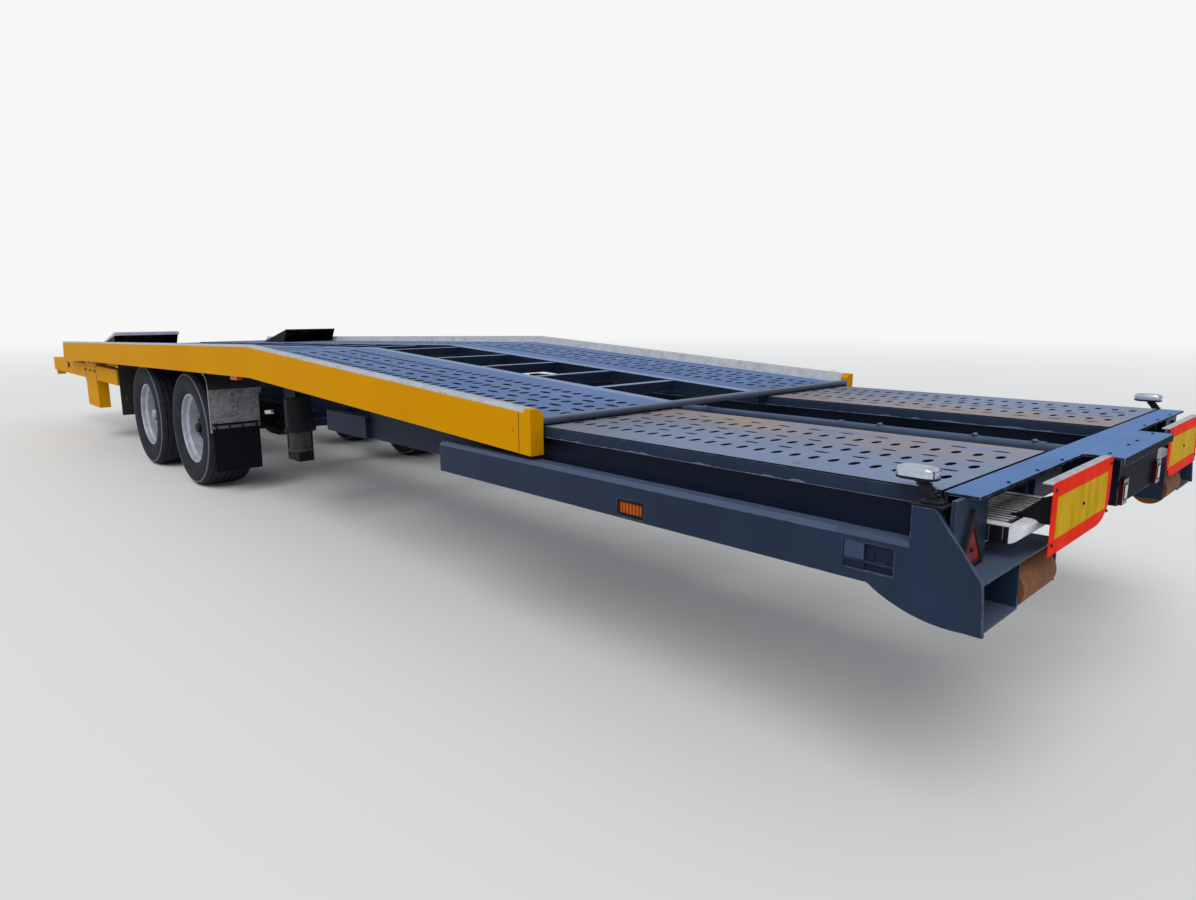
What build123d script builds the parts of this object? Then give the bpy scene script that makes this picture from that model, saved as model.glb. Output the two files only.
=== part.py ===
"""Two-axle car transporter trailer with a central drawbar, parked on its jack.

Millimetres. X runs forward, Y to the left, Z up. The origin is on the ground at the middle
of the trailer's length and width. Stations along the trailer are measured forward from the
rear face of the tail crossbar, and at() turns such a station into the model's X.
"""
import os

from build123d import *

os.makedirs("parts", exist_ok=True)

# Ends and width of the trailer
half_width = 1275.0
centre_plate_reach = 115.0
eye_station = 12880.0
eye_radius = 58.0

# Clearances between pieces that slide, turn or only rest on each other
slide_gap = 0.3
shaft_gap = 0.05
running_gap = 6.0

# Wheels and axles
rear_axle = 6415.0
axle_spacing = 1310.0
tyre_diameter = 980.0
tyre_width = 385.0
tyre_middle = half_width - 278.0
bead_diameter = 571.5
bead_half = 149.0
rim_flange = 20.0
axle_diameter = 127.0
stub_diameter = 80.0
backing_radius = 205.0
backing_width = 60.0
drum_gap = 5.0

# Upper deck, with the level of its tracks at the rear end, the bend and the front end
deck_rear = 1682.0
deck_bend = 4680.0
deck_front = 10870.0
deck_rear_level = 1025.0
deck_bend_level = 1197.0
deck_front_level = 1063.0
kerb_height = 52.0
kerb_width = 66.0
kerb_lip = 30.0
kerb_slope = 10.0
kerb_leg = 12.0
kerb_round = 9.0
fascia_plate = 6.0
fascia_lap = 14.0
fascia_rear_depth = 155.0
fascia_bend_depth = 190.0
fascia_rake = 50.0
end_cap_length = 42.0
track_plate = 6.0
upper_track_inner = 380.0
deck_beam_width = 70.0
deck_beam_depth = 100.0
deck_beam_rear_depth = 60.0
rear_tube_diameter = 34.0
cross_beam_width = 80.0
ladder_width = 60.0
ladder_depth = 60.0

# Pull-out tail with the lower deck
lower_deck_level = 1005.0
lower_track_inner = 389.0
lower_track_outer = half_width - 80.0
lower_track_lip = 46.0
lower_track_rear = 100.0
lower_track_front = 3250.0
sill_top = 873.0
sill_depth = 135.0
sill_width = 61.0
sill_wall = 8.0
sill_chamfer = 14.0
sill_front = 2350.0
side_beam_outer = half_width - 125.0
side_beam_width = 60.0
side_beam_bottom = 770.0
guide_length = 480.0
runner_inner = 500.0
runner_width = 80.0
runner_bottom = 740.0
runner_front = 3900.0
channel_wall = 8.0
crossbar_width = 89.0
crossbar_height = 68.0
crossbar_half = half_width - 70.0
gusset_plate = 12.0
gusset_front = 345.0

# Chassis
rail_middle = 430.0
rail_width = 100.0
rail_top = 900.0
rail_height = 250.0
rail_flange = 16.0
rail_web = 12.0
rail_rear = 2950.0
rail_front = 12100.0
side_frame_top = 865.0
side_frame_bottom = 700.0
side_frame_rear = 8760.0
side_frame_front = 12200.0
column_width = 110.0
column_middle = half_width - 150.0
rear_column_middle = half_width - 428.0
column_bottom = 380.0
column_wall = 8.0
leg_station = 4550.0
leg_y = half_width - 265.0
leg_radius = 88.0

rail_bottom = rail_top - rail_height
rail_inner = rail_middle - rail_width / 2
rail_outer = rail_middle + rail_width / 2
web_inner = rail_middle - rail_web / 2
web_outer = rail_middle + rail_web / 2
axle_height = tyre_diameter / 2
front_axle = rear_axle + axle_spacing
bogie_middle = rear_axle + axle_spacing / 2
fascia_inner = half_width - kerb_width
fascia_rise = kerb_height - kerb_lip
sill_bottom = sill_top - sill_depth
sill_inner = half_width - sill_width
gusset_inner = half_width - gusset_plate
side_beam_inner = side_beam_outer - side_beam_width
runner_outer = runner_inner + runner_width
track_underside = lower_deck_level - track_plate
crossbar_bottom = lower_deck_level - crossbar_height
column_inner = column_middle - column_width / 2
column_outer = column_middle + column_width / 2
model_middle = (eye_station + eye_radius - centre_plate_reach) / 2

# Name and station of each axle, name and side of each wheel on it
axle_table = [("rear", rear_axle), ("front", front_axle)]
side_table = [("left", 1), ("right", -1)]

# Name, station of the middle, length along the trailer and distance from the centre line of each
# pair of lifting columns
column_table = [("rear", deck_bend + 270.0, 200.0, rear_column_middle), ("front", 9990.0, 560.0, column_middle)]


def at(station):
    """Model X of a station measured forward from the tail."""
    return station - model_middle


def deck_level(station):
    """Height of the upper tracks at a station."""
    if station < deck_bend:
        share = (station - deck_rear) / (deck_bend - deck_rear)
        return deck_rear_level + share * (deck_bend_level - deck_rear_level)
    share = (station - deck_bend) / (deck_front - deck_bend)
    return deck_bend_level + share * (deck_front_level - deck_bend_level)


def bar(x_from, x_to, y_from, y_to, z_from, z_to, mode=Mode.ADD):
    """Straight block between two stations, two sides and two heights."""
    with Locations(((at(x_from) + at(x_to)) / 2, (y_from + y_to) / 2, (z_from + z_to) / 2)):
        Box(abs(x_to - x_from), abs(y_to - y_from), abs(z_to - z_from), mode=mode)


def bar_pair(x_from, x_to, y_from, y_to, z_from, z_to, mode=Mode.ADD):
    """The same block on the left and on the right."""
    bar(x_from, x_to, y_from, y_to, z_from, z_to, mode)
    bar(x_from, x_to, -y_to, -y_from, z_from, z_to, mode)


def side_sheet(points, y_from, y_to, mode=Mode.ADD):
    """Plate with a side outline of (station, height) points, from one Y to another."""
    with BuildSketch(Plane(origin=(0, y_to, 0), x_dir=(1, 0, 0), z_dir=(0, -1, 0))) as outline:
        with BuildLine():
            Polyline([(at(station), height) for station, height in points], close=True)
        make_face()
    extrude(outline.sketch, amount=y_to - y_from, mode=mode)


def side_pair(points, y_from, y_to, mode=Mode.ADD):
    """The same plate on the left and on the right."""
    side_sheet(points, y_from, y_to, mode)
    side_sheet(points, -y_to, -y_from, mode)


def cross_sheet(points, x_from, x_to, mode=Mode.ADD):
    """Plate across the trailer with an outline of (Y, height) points, from one station to another."""
    with BuildSketch(Plane(origin=(at(x_from), 0, 0), x_dir=(0, 1, 0), z_dir=(1, 0, 0))) as outline:
        with BuildLine():
            Polyline(points, close=True)
        make_face()
    extrude(outline.sketch, amount=x_to - x_from, mode=mode)


def cross_pair(points, x_from, x_to, mode=Mode.ADD):
    """The same plate on the left and on the right."""
    cross_sheet(points, x_from, x_to, mode)
    cross_sheet([(-y, height) for y, height in points], x_from, x_to, mode)


def channel(web_y, lip_y, bottom, top, wall):
    """Section of a channel that has its web at one Y and its open side at another."""
    inside = web_y + wall if lip_y > web_y else web_y - wall
    return [(web_y, bottom), (lip_y, bottom), (lip_y, bottom + wall), (inside, bottom + wall),
            (inside, top - wall), (lip_y, top - wall), (lip_y, top), (web_y, top)]


def deck_strip(above, below, x_from, x_to):
    """Side outline that follows the upper deck from a height above its tracks to one below."""
    stations = [x_from] + [deck_bend] * (x_from < deck_bend < x_to) + [x_to]
    upper = [(station, deck_level(station) + above) for station in stations]
    lower = [(station, deck_level(station) - below) for station in reversed(stations)]
    return upper + lower


def deck_run(points, x_from, x_to):
    """Bars on both sides that follow the upper deck; heights in the section count from its tracks."""
    stations = [x_from] + [deck_bend] * (x_from < deck_bend < x_to) + [x_to]
    for side in (1, -1):
        for start, end in zip(stations, stations[1:]):
            place = Plane(origin=(at(start), 0, deck_level(start)), x_dir=(0, 1, 0), z_dir=(1, 0, 0))
            with BuildSketch(place) as outline:
                with BuildLine():
                    Polyline([(side * y, height) for y, height in points], close=True)
                make_face()
            slope = Vector(end - start, 0, deck_level(end) - deck_level(start))
            extrude(outline.sketch, amount=slope.length, dir=slope.normalized())


def upright_tube(station, y, radius, z_from, z_to, mode=Mode.ADD):
    """Upright round bar or bore."""
    with Locations((at(station), y, (z_from + z_to) / 2)):
        Cylinder(radius, z_to - z_from, mode=mode)


def cross_tube(station, z, radius, y_from, y_to, mode=Mode.ADD):
    """Round bar or bore that lies across the trailer."""
    with Locations(Location((at(station), (y_from + y_to) / 2, z), (90, 0, 0))):
        Cylinder(radius, abs(y_to - y_from), mode=mode)


def long_tube(x_from, x_to, y, z, radius, mode=Mode.ADD):
    """Round bar or bore that lies along the trailer."""
    with Locations(Location(((at(x_from) + at(x_to)) / 2, y, z), (0, 90, 0))):
        Cylinder(radius, x_to - x_from, mode=mode)


def write(node, name):
    """Label a finished piece and write it under its own name."""
    node.part.label = name
    export_step(node.part, f"parts/{name}.step")


# Main rails: welded I beams whose lower edge rises a little towards the rear end
rail_rise_station = 4100.0
rail_rear_bottom = 690.0
lower_edge = [(rail_rear, rail_rear_bottom), (rail_rise_station, rail_bottom), (rail_front, rail_bottom)]
with BuildPart() as main_rails:
    side_pair(lower_edge + [(station, height + rail_flange) for station, height in reversed(lower_edge)],
              rail_inner, rail_outer)
    side_pair(lower_edge + [(rail_front, rail_top), (rail_rear, rail_top)], web_inner, web_outer)
    bar_pair(rail_rear, rail_front, rail_inner, rail_outer, rail_top - rail_flange, rail_top)
write(main_rails, "main_rails")

# Cross members between the rails
bogie_reach = 1075.0
cross_stations = [4500.0, 5250.0, bogie_middle - bogie_reach, bogie_middle, bogie_middle + bogie_reach,
                  9100.0, 10100.0, 11100.0, 11900.0]
cross_width = 70.0
cross_height = 120.0
cross_top = rail_top - rail_flange
with BuildPart() as chassis_cross_members:
    for station in cross_stations:
        bar(station - cross_width / 2, station + cross_width / 2, -web_inner, web_inner,
            cross_top - cross_height, cross_top)
        bar(station - cross_width / 2, station + cross_width / 2 - channel_wall, -web_inner, web_inner,
            cross_top - cross_height + channel_wall, cross_top - channel_wall, Mode.SUBTRACT)
write(chassis_cross_members, "chassis_cross_members")

# Brackets on the rails: tapered outriggers, the slide shoes under the runners, and the guard stays
shoe_stations = [rail_rear + 100.0, runner_front - 120.0]
shoe_length = 160.0
shoe_height = 30.0
shoe_top = runner_bottom - slide_gap
bracket_depth = 12.0
leg_pad = 12.0
outrigger_table = [(leg_station, leg_y - leg_radius - leg_pad), (column_table[0][1], rear_column_middle - column_width / 2),
                   (side_frame_rear + 140.0, column_inner), (column_table[1][1], column_inner),
                   (side_frame_front - 900.0, column_inner)]
outrigger_width = 80.0
outrigger_top = runner_bottom - bracket_depth
guard_inner = tyre_middle - 182.0
guard_rear_reach = 615.0
guard_front_reach = 875.0
guard_rear = rear_axle - guard_rear_reach
guard_front = front_axle + guard_front_reach
stay_half = 20.0
stay_top = rail_top - 50.0
stay_stations = [guard_rear + 3 * stay_half, bogie_middle, guard_front - 7 * stay_half]
with BuildPart() as rail_brackets:
    for station, outer_end in outrigger_table:
        cross_pair([(web_outer, rail_bottom + rail_flange), (outer_end, rail_bottom + 2 * rail_flange),
                    (outer_end, outrigger_top), (web_outer, outrigger_top)],
                   station - outrigger_width / 2, station + outrigger_width / 2)
    for station in shoe_stations:
        bar_pair(station - shoe_length / 2, station + shoe_length / 2, web_outer, runner_outer,
                 shoe_top - shoe_height, shoe_top)
    for station in stay_stations:
        bar_pair(station - stay_half, station + stay_half, web_outer, guard_inner - 2 * stay_half,
                 stay_top - 2 * stay_half, stay_top)
write(rail_brackets, "rail_brackets")

# Front frame: side beams past the column housings, a front cross beam, and round bosses below
boss_radius = 42.0
boss_width = 90.0
front_beam_width = 100.0
front_column_rear = column_table[1][1] - column_table[1][2] / 2
front_column_front = column_table[1][1] + column_table[1][2] / 2
with BuildPart() as front_frame:
    bar_pair(side_frame_rear, front_column_rear, column_inner, column_outer, side_frame_bottom, side_frame_top)
    bar_pair(front_column_front, side_frame_front, column_inner, column_outer,
             side_frame_bottom, side_frame_top)
    for side in (1, -1):
        cross_tube(side_frame_front - front_beam_width, side_frame_bottom - boss_radius / 2, boss_radius,
                   side * column_middle - boss_width / 2, side * column_middle + boss_width / 2)
write(front_frame, "front_frame")
with BuildPart() as front_cross_beam:
    bar(side_frame_front - front_beam_width, side_frame_front, -column_inner, column_inner,
        side_frame_bottom, side_frame_top)
write(front_cross_beam, "front_cross_beam")

# Drawbar: a box beam under the rails that tapers to the eye, with cross plates and webs
drawbar_rear = 9300.0
drawbar_tip = eye_station - 150.0
drawbar_taper = 600.0
drawbar_width = 160.0
drawbar_height = 180.0
drawbar_tip_height = 110.0
drawbar_rear_height = 60.0
plate_height = 16.0
plate_length = 110.0
drawbar_plates = [drawbar_rear + 80.0, drawbar_rear + 1000.0, rail_front - 1000.0, rail_front - 140.0]
drawbar_top = rail_bottom - plate_height
with BuildPart() as drawbar:
    side_sheet([(drawbar_rear, drawbar_top), (drawbar_tip, drawbar_top),
                (drawbar_tip, drawbar_top - drawbar_tip_height),
                (drawbar_tip - drawbar_taper, drawbar_top - drawbar_height),
                (drawbar_rear + drawbar_taper / 2, drawbar_top - drawbar_height),
                (drawbar_rear, drawbar_top - drawbar_rear_height)], -drawbar_width / 2, drawbar_width / 2)
    for station in drawbar_plates:
        bar(station - plate_length / 2, station + plate_length / 2, -rail_outer, rail_outer,
            drawbar_top, rail_bottom)
        cross_sheet([(-rail_outer, drawbar_top), (rail_outer, drawbar_top),
                     (drawbar_width / 2, drawbar_top - drawbar_rear_height),
                     (-drawbar_width / 2, drawbar_top - drawbar_rear_height)],
                    station - plate_height / 2, station + plate_height / 2)
write(drawbar, "drawbar")

# Towing eye: a forged ring on a shank with its flange
eye_bore = 25.0
eye_height = 45.0
shank_radius = 18.0
eye_level = drawbar_top - drawbar_tip_height / 2
flange_half = 62.0
flange_length = 20.0
with BuildPart() as towing_eye:
    upright_tube(eye_station, 0, eye_radius, eye_level - eye_height / 2, eye_level + eye_height / 2)
    long_tube(drawbar_tip, eye_station - eye_bore - kerb_round, 0, eye_level, shank_radius)
    bar(drawbar_tip, drawbar_tip + flange_length, -flange_half, flange_half,
        eye_level - drawbar_tip_height / 2, eye_level + drawbar_tip_height / 2)
    upright_tube(eye_station, 0, eye_bore, eye_level - eye_height, eye_level + eye_height, Mode.SUBTRACT)
write(towing_eye, "towing_eye")

# Parking jack beside the drawbar: outer tube with its crank, inner tube with its foot
jack_station = drawbar_tip - 350.0
jack_radius = 45.0
jack_bracket = 20.0
jack_y = drawbar_width / 2 + jack_bracket / 2 + jack_radius
jack_split = 330.0
jack_top = 940.0
jack_bracket_half = 60.0
jack_inner_radius = 36.0
foot_radius = 110.0
foot_plate = 12.0
crank_radius = 10.0
crank_drop = 160.0
crank_level = jack_top - 50.0
crank_y = jack_y + jack_radius + 55.0
with BuildPart() as jack_tube:
    upright_tube(jack_station, jack_y, jack_radius, jack_split, jack_top)
    bar(jack_station - jack_bracket_half, jack_station + jack_bracket_half, drawbar_width / 2,
        drawbar_width / 2 + jack_bracket, drawbar_top - 2 * jack_bracket_half, drawbar_top - jack_bracket)
    cross_tube(jack_station, crank_level, crank_radius, jack_y, crank_y)
    upright_tube(jack_station, crank_y, crank_radius, crank_level - crank_drop, crank_level + crank_radius)
    cross_tube(jack_station, crank_level - crank_drop, crank_radius, crank_y - crank_radius, crank_y + 100)
write(jack_tube, "jack_tube")
with BuildPart() as jack_foot:
    upright_tube(jack_station, jack_y, jack_inner_radius, foot_plate, jack_split)
    upright_tube(jack_station, jack_y, foot_radius, 0, foot_plate)
write(jack_foot, "jack_foot")

# Rear support legs, drawn up: outer tube with its pad, inner tube with the foot ring
leg_top = 880.0
leg_split = 655.0
leg_foot = 520.0
leg_ring = 10.0
ring_height = 20.0
with BuildPart() as support_legs:
    for side in (1, -1):
        upright_tube(leg_station, side * leg_y, leg_radius, leg_split, leg_top)
        upright_tube(leg_station, side * leg_y, leg_radius + leg_ring, leg_split, leg_split + ring_height)
    bar_pair(leg_station - outrigger_width / 2, leg_station + outrigger_width / 2,
             leg_y - leg_radius - leg_pad, leg_y - leg_radius / 2, leg_split, outrigger_top)
write(support_legs, "support_legs")
with BuildPart() as support_feet:
    for side in (1, -1):
        upright_tube(leg_station, side * leg_y, leg_radius - 2 * leg_ring, leg_foot, leg_split)
        upright_tube(leg_station, side * leg_y, leg_radius - leg_ring, leg_foot, leg_foot + ring_height)
write(support_feet, "support_feet")

# Air tanks lengthwise under two cross members
tank_radius = 110.0
tank_y = 180.0
tank_round = 45.0
tank_rear = bogie_middle + bogie_reach - 100.0
tank_front = 9250.0
with BuildPart() as air_tanks:
    for side in (1, -1):
        long_tube(tank_rear, tank_front, side * tank_y, cross_top - cross_height - tank_radius, tank_radius)
    fillet(air_tanks.edges().filter_by(GeomType.CIRCLE), tank_round)
write(air_tanks, "air_tanks")

# Axle beams with stubs and backing plates, and brake chambers on brackets
backing_inner = tyre_middle - bead_half - 41.0
chamber_radius = 82.0
chamber_length = 130.0
chamber_y = (rail_outer + backing_inner) / 2
chamber_rise = 45.0
chamber_bracket = 40.0
with BuildPart() as axle_beams:
    for name, station in axle_table:
        cross_tube(station, axle_height, axle_diameter / 2, -backing_inner, backing_inner)
        cross_tube(station, axle_height, stub_diameter / 2 - shaft_gap, -tyre_middle - bead_half / 3,
                   tyre_middle + bead_half / 3)
        for side in (1, -1):
            cross_tube(station, axle_height, backing_radius, side * backing_inner,
                       side * (backing_inner + backing_width))
write(axle_beams, "axle_beams")
with BuildPart() as brake_chambers:
    for name, station in axle_table:
        start = station + axle_diameter / 2 + chamber_bracket / 2
        for side in (1, -1):
            long_tube(start, start + chamber_length, side * chamber_y, axle_height + chamber_rise, chamber_radius)
            long_tube(start + chamber_length / 3, start + chamber_length / 2, side * chamber_y,
                      axle_height + chamber_rise, chamber_radius + leg_ring)
        bar_pair(station, start, chamber_y - chamber_bracket, chamber_y + chamber_bracket,
                 axle_height + chamber_bracket / 2, axle_height + axle_diameter / 2 + chamber_bracket)
        cross_tube(station, axle_height, axle_diameter / 2, -backing_inner, backing_inner, Mode.SUBTRACT)
write(brake_chambers, "brake_chambers")

# Trailing arms in their hangers, clamped under the axles
arm_length = 520.0
arm_half = 42.0
hanger_plate = 10.0
arm_rear = 330.0
arm_clamp = 100.0
seat_level = axle_height - axle_diameter / 2 - slide_gap
with BuildPart() as trailing_arms:
    for name, station in axle_table:
        pivot = station + arm_length
        hanger = [(pivot - 95, rail_bottom), (pivot + 75, rail_bottom), (pivot + 50, axle_height - 50),
                  (pivot - 45, axle_height - 50)]
        side_pair(hanger, rail_middle - arm_half - hanger_plate, rail_middle - arm_half)
        side_pair(hanger, rail_middle + arm_half, rail_middle + arm_half + hanger_plate)
        side_pair([(pivot + 32, axle_height + 30), (pivot - 40, axle_height + 34), (station + arm_clamp, seat_level),
                   (station - arm_rear, seat_level), (station - arm_rear, seat_level - 26),
                   (station - arm_clamp, seat_level - 58), (station + arm_clamp, seat_level - 58),
                   (pivot + 20, axle_height - 35)], rail_middle - arm_half, rail_middle + arm_half)
write(trailing_arms, "trailing_arms")

# Air springs: two rolls between a foot on the arm and a lid under the rail
spring_offset = 225.0
spring_radius = 118.0
spring_waist = 96.0
spring_foot = 80.0
foot_height = 60.0
lid_height = 12.0
spring_base = seat_level + slide_gap
spring_top = rail_bottom - slide_gap
roll_bottom = spring_base + foot_height
roll_top = spring_top - lid_height
roll_middle = (roll_bottom + roll_top) / 2
with BuildPart() as air_springs:
    for name, station in axle_table:
        for side in (1, -1):
            centre = (at(station - spring_offset), side * rail_middle, 0)
            with BuildSketch(Plane(origin=centre, x_dir=(1, 0, 0), z_dir=(0, -1, 0))):
                with BuildLine():
                    Polyline([(spring_waist, roll_top), (spring_waist, spring_top), (0, spring_top),
                              (0, spring_base), (spring_foot, spring_base), (spring_foot, roll_bottom),
                              (spring_waist, roll_bottom)])
                    ThreePointArc((spring_waist, roll_bottom), (spring_radius, (roll_bottom + roll_middle) / 2),
                                  (spring_waist, roll_middle))
                    ThreePointArc((spring_waist, roll_middle), (spring_radius, (roll_middle + roll_top) / 2),
                                  (spring_waist, roll_top))
                make_face()
            revolve(axis=Axis(centre, (0, 0, 1)))
write(air_springs, "air_springs")

# Mudguards: a sheet over both wheels of a side, bent down at its ends, on stays from the rails
guard_level = 1002.0
guard_sheet = 5.0
guard_bend = 150.0
guard_outer = half_width - 77.0
guard_rear_bottom = 540.0
guard_front_bottom = 400.0
with BuildPart() as mudguards:
    guard_faces = []
    for inset in (0.0, guard_sheet):
        drop = 20 * inset
        with BuildSketch(Plane.XZ) as guard_outline:
            with BuildLine():
                Polyline([(at(guard_rear + inset), guard_rear_bottom - drop),
                          (at(guard_rear + inset), guard_level + guard_sheet - inset),
                          (at(guard_front - inset), guard_level + guard_sheet - inset),
                          (at(guard_front - inset), guard_front_bottom - drop)], close=True)
            make_face()
            fillet(guard_outline.vertices().group_by(Axis.Y)[-1], guard_bend - inset)
        guard_faces.append(guard_outline.sketch)
    for y_from in (guard_inner, -guard_outer):
        for face, mode in zip(guard_faces, (Mode.ADD, Mode.SUBTRACT)):
            extrude(face.moved(Location((0, y_from, 0))), amount=-(guard_outer - guard_inner), mode=mode)
    for station in stay_stations:
        bar_pair(station - stay_half, station + stay_half, guard_inner - 2 * stay_half, guard_inner,
                 stay_top - 2 * stay_half, guard_level)
        bar_pair(station - stay_half, station + stay_half, guard_inner - stay_half, guard_inner + stay_half,
                 guard_level - 2 * stay_half, guard_level)
write(mudguards, "mudguards")
# Rubber flaps clamped behind the mudguards
flap_bottom = 200.0
flap_side = 10.0
clamp_height = 40.0
with BuildPart() as mud_flaps:
    bar_pair(guard_rear - guard_sheet, guard_rear, guard_inner + flap_side, guard_outer - flap_side,
             flap_bottom, guard_rear_bottom + clamp_height + flap_side)
write(mud_flaps, "mud_flaps")


def column_stage(station, length, middle, inset, z_from, z_to, hollow=True):
    """One box stage of a column pair, inset from the housing's outside."""
    half = length / 2 - inset
    inner = middle - column_width / 2 + inset
    outer = middle + column_width / 2 - inset
    bar_pair(station - half, station + half, inner, outer, z_from, z_to)
    if hollow:
        bar_pair(station - half + column_wall, station + half - column_wall, inner + column_wall,
                 outer - column_wall, z_from, z_to, Mode.SUBTRACT)


# Lifting columns: housing on the chassis, middle stage, inner stage under the deck
stage_inset = column_wall + slide_gap
stage_step = 20.0
stage_foot = 10.0
for place, station, length, middle in column_table:
    housing_top = deck_level(station) - track_plate - deck_beam_depth - 2 * stage_step
    with BuildPart() as column_housings:
        column_stage(station, length, middle, 0, column_bottom, housing_top)
    write(column_housings, f"column_housings_{place}")
with BuildPart() as column_middle_stages:
    for place, station, length, middle in column_table:
        housing_top = deck_level(station) - track_plate - deck_beam_depth - 2 * stage_step
        column_stage(station, length, middle, stage_inset, column_bottom + stage_foot, housing_top + stage_step)
write(column_middle_stages, "column_middle_stages")
with BuildPart() as column_inner_stages:
    for place, station, length, middle in column_table:
        beam_bottom = deck_level(station) - track_plate - deck_beam_depth
        column_stage(station, length, middle, 2 * stage_inset, column_bottom + 2 * stage_foot, beam_bottom, False)
write(column_inner_stages, "column_inner_stages")

# Upper deck fascias: bent plates with flanges above and below, and caps on the ends of the kerbs
fascia_top = [(deck_rear, deck_level(deck_rear) + fascia_rise), (deck_bend, deck_level(deck_bend) + fascia_rise),
              (deck_front, deck_level(deck_front) + fascia_rise)]
fascia_bottom = [(deck_rear, fascia_top[0][1] - fascia_rear_depth), (deck_bend, fascia_top[1][1] - fascia_bend_depth),
                 (deck_front + fascia_rake, fascia_top[2][1] - fascia_bend_depth)]
with BuildPart() as deck_fascias:
    side_pair([(station, height + fascia_lap) for station, height in fascia_top] + list(reversed(fascia_bottom)),
              half_width - fascia_plate, half_width)
    side_pair(fascia_top + [(station, height - fascia_plate) for station, height in reversed(fascia_top)],
              fascia_inner, half_width)
    side_pair(fascia_bottom + [(station, height + fascia_plate) for station, height in reversed(fascia_bottom)],
              fascia_inner, half_width)
    bar_pair(deck_rear, deck_rear + fascia_plate, fascia_inner, half_width,
             fascia_bottom[0][1], fascia_top[0][1])
    deck_run([(fascia_inner, fascia_rise), (half_width, fascia_rise), (half_width, kerb_height),
              (fascia_inner + kerb_width / 3, kerb_height), (fascia_inner, fascia_rise + kerb_round)],
             deck_rear, deck_rear + end_cap_length)
write(deck_fascias, "deck_fascias")

# Kerb rails: rounded on top, sloping down to the tracks on their inner side
with BuildPart() as kerb_rails:
    deck_run([(half_width - fascia_plate, fascia_rise), (half_width - fascia_plate, fascia_rise + fascia_lap),
              (half_width, fascia_rise + fascia_lap), (half_width, kerb_height - kerb_round),
              (half_width - kerb_round / 3, kerb_height - kerb_round / 3), (half_width - kerb_round, kerb_height),
              (fascia_inner + kerb_slope + kerb_round, kerb_height),
              (fascia_inner + kerb_slope + kerb_round / 3, kerb_height - kerb_round / 3),
              (fascia_inner - kerb_leg, 0), (fascia_inner, 0), (fascia_inner, fascia_rise)],
             deck_rear + end_cap_length, deck_front)
write(kerb_rails, "kerb_rails")

# Upper tracks between the deck beams and the fascias, in one plate behind the bend and one in front
track_rear = deck_rear + rear_tube_diameter
with BuildPart() as rear_slope_tracks:
    side_pair(deck_strip(0, track_plate, track_rear, deck_bend), upper_track_inner, fascia_inner)
write(rear_slope_tracks, "rear_slope_tracks")
with BuildPart() as front_slope_tracks:
    side_pair(deck_strip(0, track_plate, deck_bend, deck_front), upper_track_inner, fascia_inner)
write(front_slope_tracks, "front_slope_tracks")

# Two long beams along the inner edges of the tracks
with BuildPart() as deck_beams:
    side_pair([(track_rear, deck_level(track_rear)), (deck_bend, deck_bend_level), (deck_front, deck_front_level),
               (deck_front, deck_front_level - deck_beam_depth), (deck_bend, deck_bend_level - deck_beam_depth),
               (track_rear, deck_level(track_rear) - deck_beam_rear_depth)],
              upper_track_inner - deck_beam_width, upper_track_inner)
write(deck_beams, "deck_beams")

# Rungs between the long beams, and cross beams under the tracks out to the plates of the fascias
rung_stations = [2330.0, 2850.0, 3390.0, 3930.0, 4560.0, 5200.0, 5900.0, 6600.0, 7300.0,
                 8000.0, 8700.0, 9400.0, 10100.0, deck_front - ladder_width]
rung_half = upper_track_inner - deck_beam_width
cross_beam_stations = [3400.0, 4200.0, column_table[0][1], 5750.0, 6750.0, 7700.0, 8600.0, 9300.0,
                       column_table[1][1], deck_front - cross_beam_width]
with BuildPart() as deck_cross_beams:
    for station in rung_stations:
        level = deck_level(station + ladder_width / 2) - track_plate
        bar(station - ladder_width / 2, station + ladder_width / 2, -rung_half, rung_half,
            level - ladder_depth, level)
    for station in cross_beam_stations:
        start = station - cross_beam_width / 2
        end = station + cross_beam_width / 2
        bottom = deck_level(station) - track_plate - deck_beam_depth
        side_pair([(start, deck_level(start) - track_plate), (end, deck_level(end) - track_plate),
                   (end, bottom), (start, bottom)], upper_track_inner, half_width - fascia_plate)
write(deck_cross_beams, "deck_cross_beams")

# Round tube across the rear edge of the upper deck
tube_radius = rear_tube_diameter / 2
with BuildPart() as deck_rear_tube:
    cross_tube(deck_rear + tube_radius, lower_deck_level + running_gap + tube_radius, tube_radius,
               -fascia_inner, fascia_inner)
write(deck_rear_tube, "deck_rear_tube")

# Raised wheel plates on the front part of the tracks: a sloping plate on two side supports
plate_front = 9300.0
plate_rear = 8600.0
plate_rise = 150.0
plate_thick = 8.0
plate_rake = 90.0
plate_inner = fascia_inner - 620.0
plate_outer = fascia_inner - 20.0
with BuildPart() as wheel_plates:
    high = deck_level(plate_rear) + plate_rise
    low = deck_level(plate_front)
    side_pair([(plate_rear, high), (plate_front, low + plate_thick), (plate_front, low),
               (plate_rear, high - plate_thick)], plate_inner, plate_outer)
    for y_from in (plate_inner, plate_outer - plate_thick):
        side_pair([(plate_rear, high - plate_thick), (plate_front, low),
                   (plate_rear + plate_rise, deck_level(plate_rear + plate_rise)),
                   (plate_rear + plate_rake, deck_level(plate_rear + plate_rake))], y_from, y_from + plate_thick)
write(wheel_plates, "wheel_plates")

# Tail crossbar: an angle across the rear end, a top plate with its web at the front
with BuildPart() as tail_crossbar:
    bar(0, crossbar_width, -crossbar_half, crossbar_half, lower_deck_level - channel_wall, lower_deck_level)
    bar(crossbar_width - channel_wall, crossbar_width, -crossbar_half, crossbar_half,
        crossbar_bottom, lower_deck_level - channel_wall)
write(tail_crossbar, "tail_crossbar")

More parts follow.
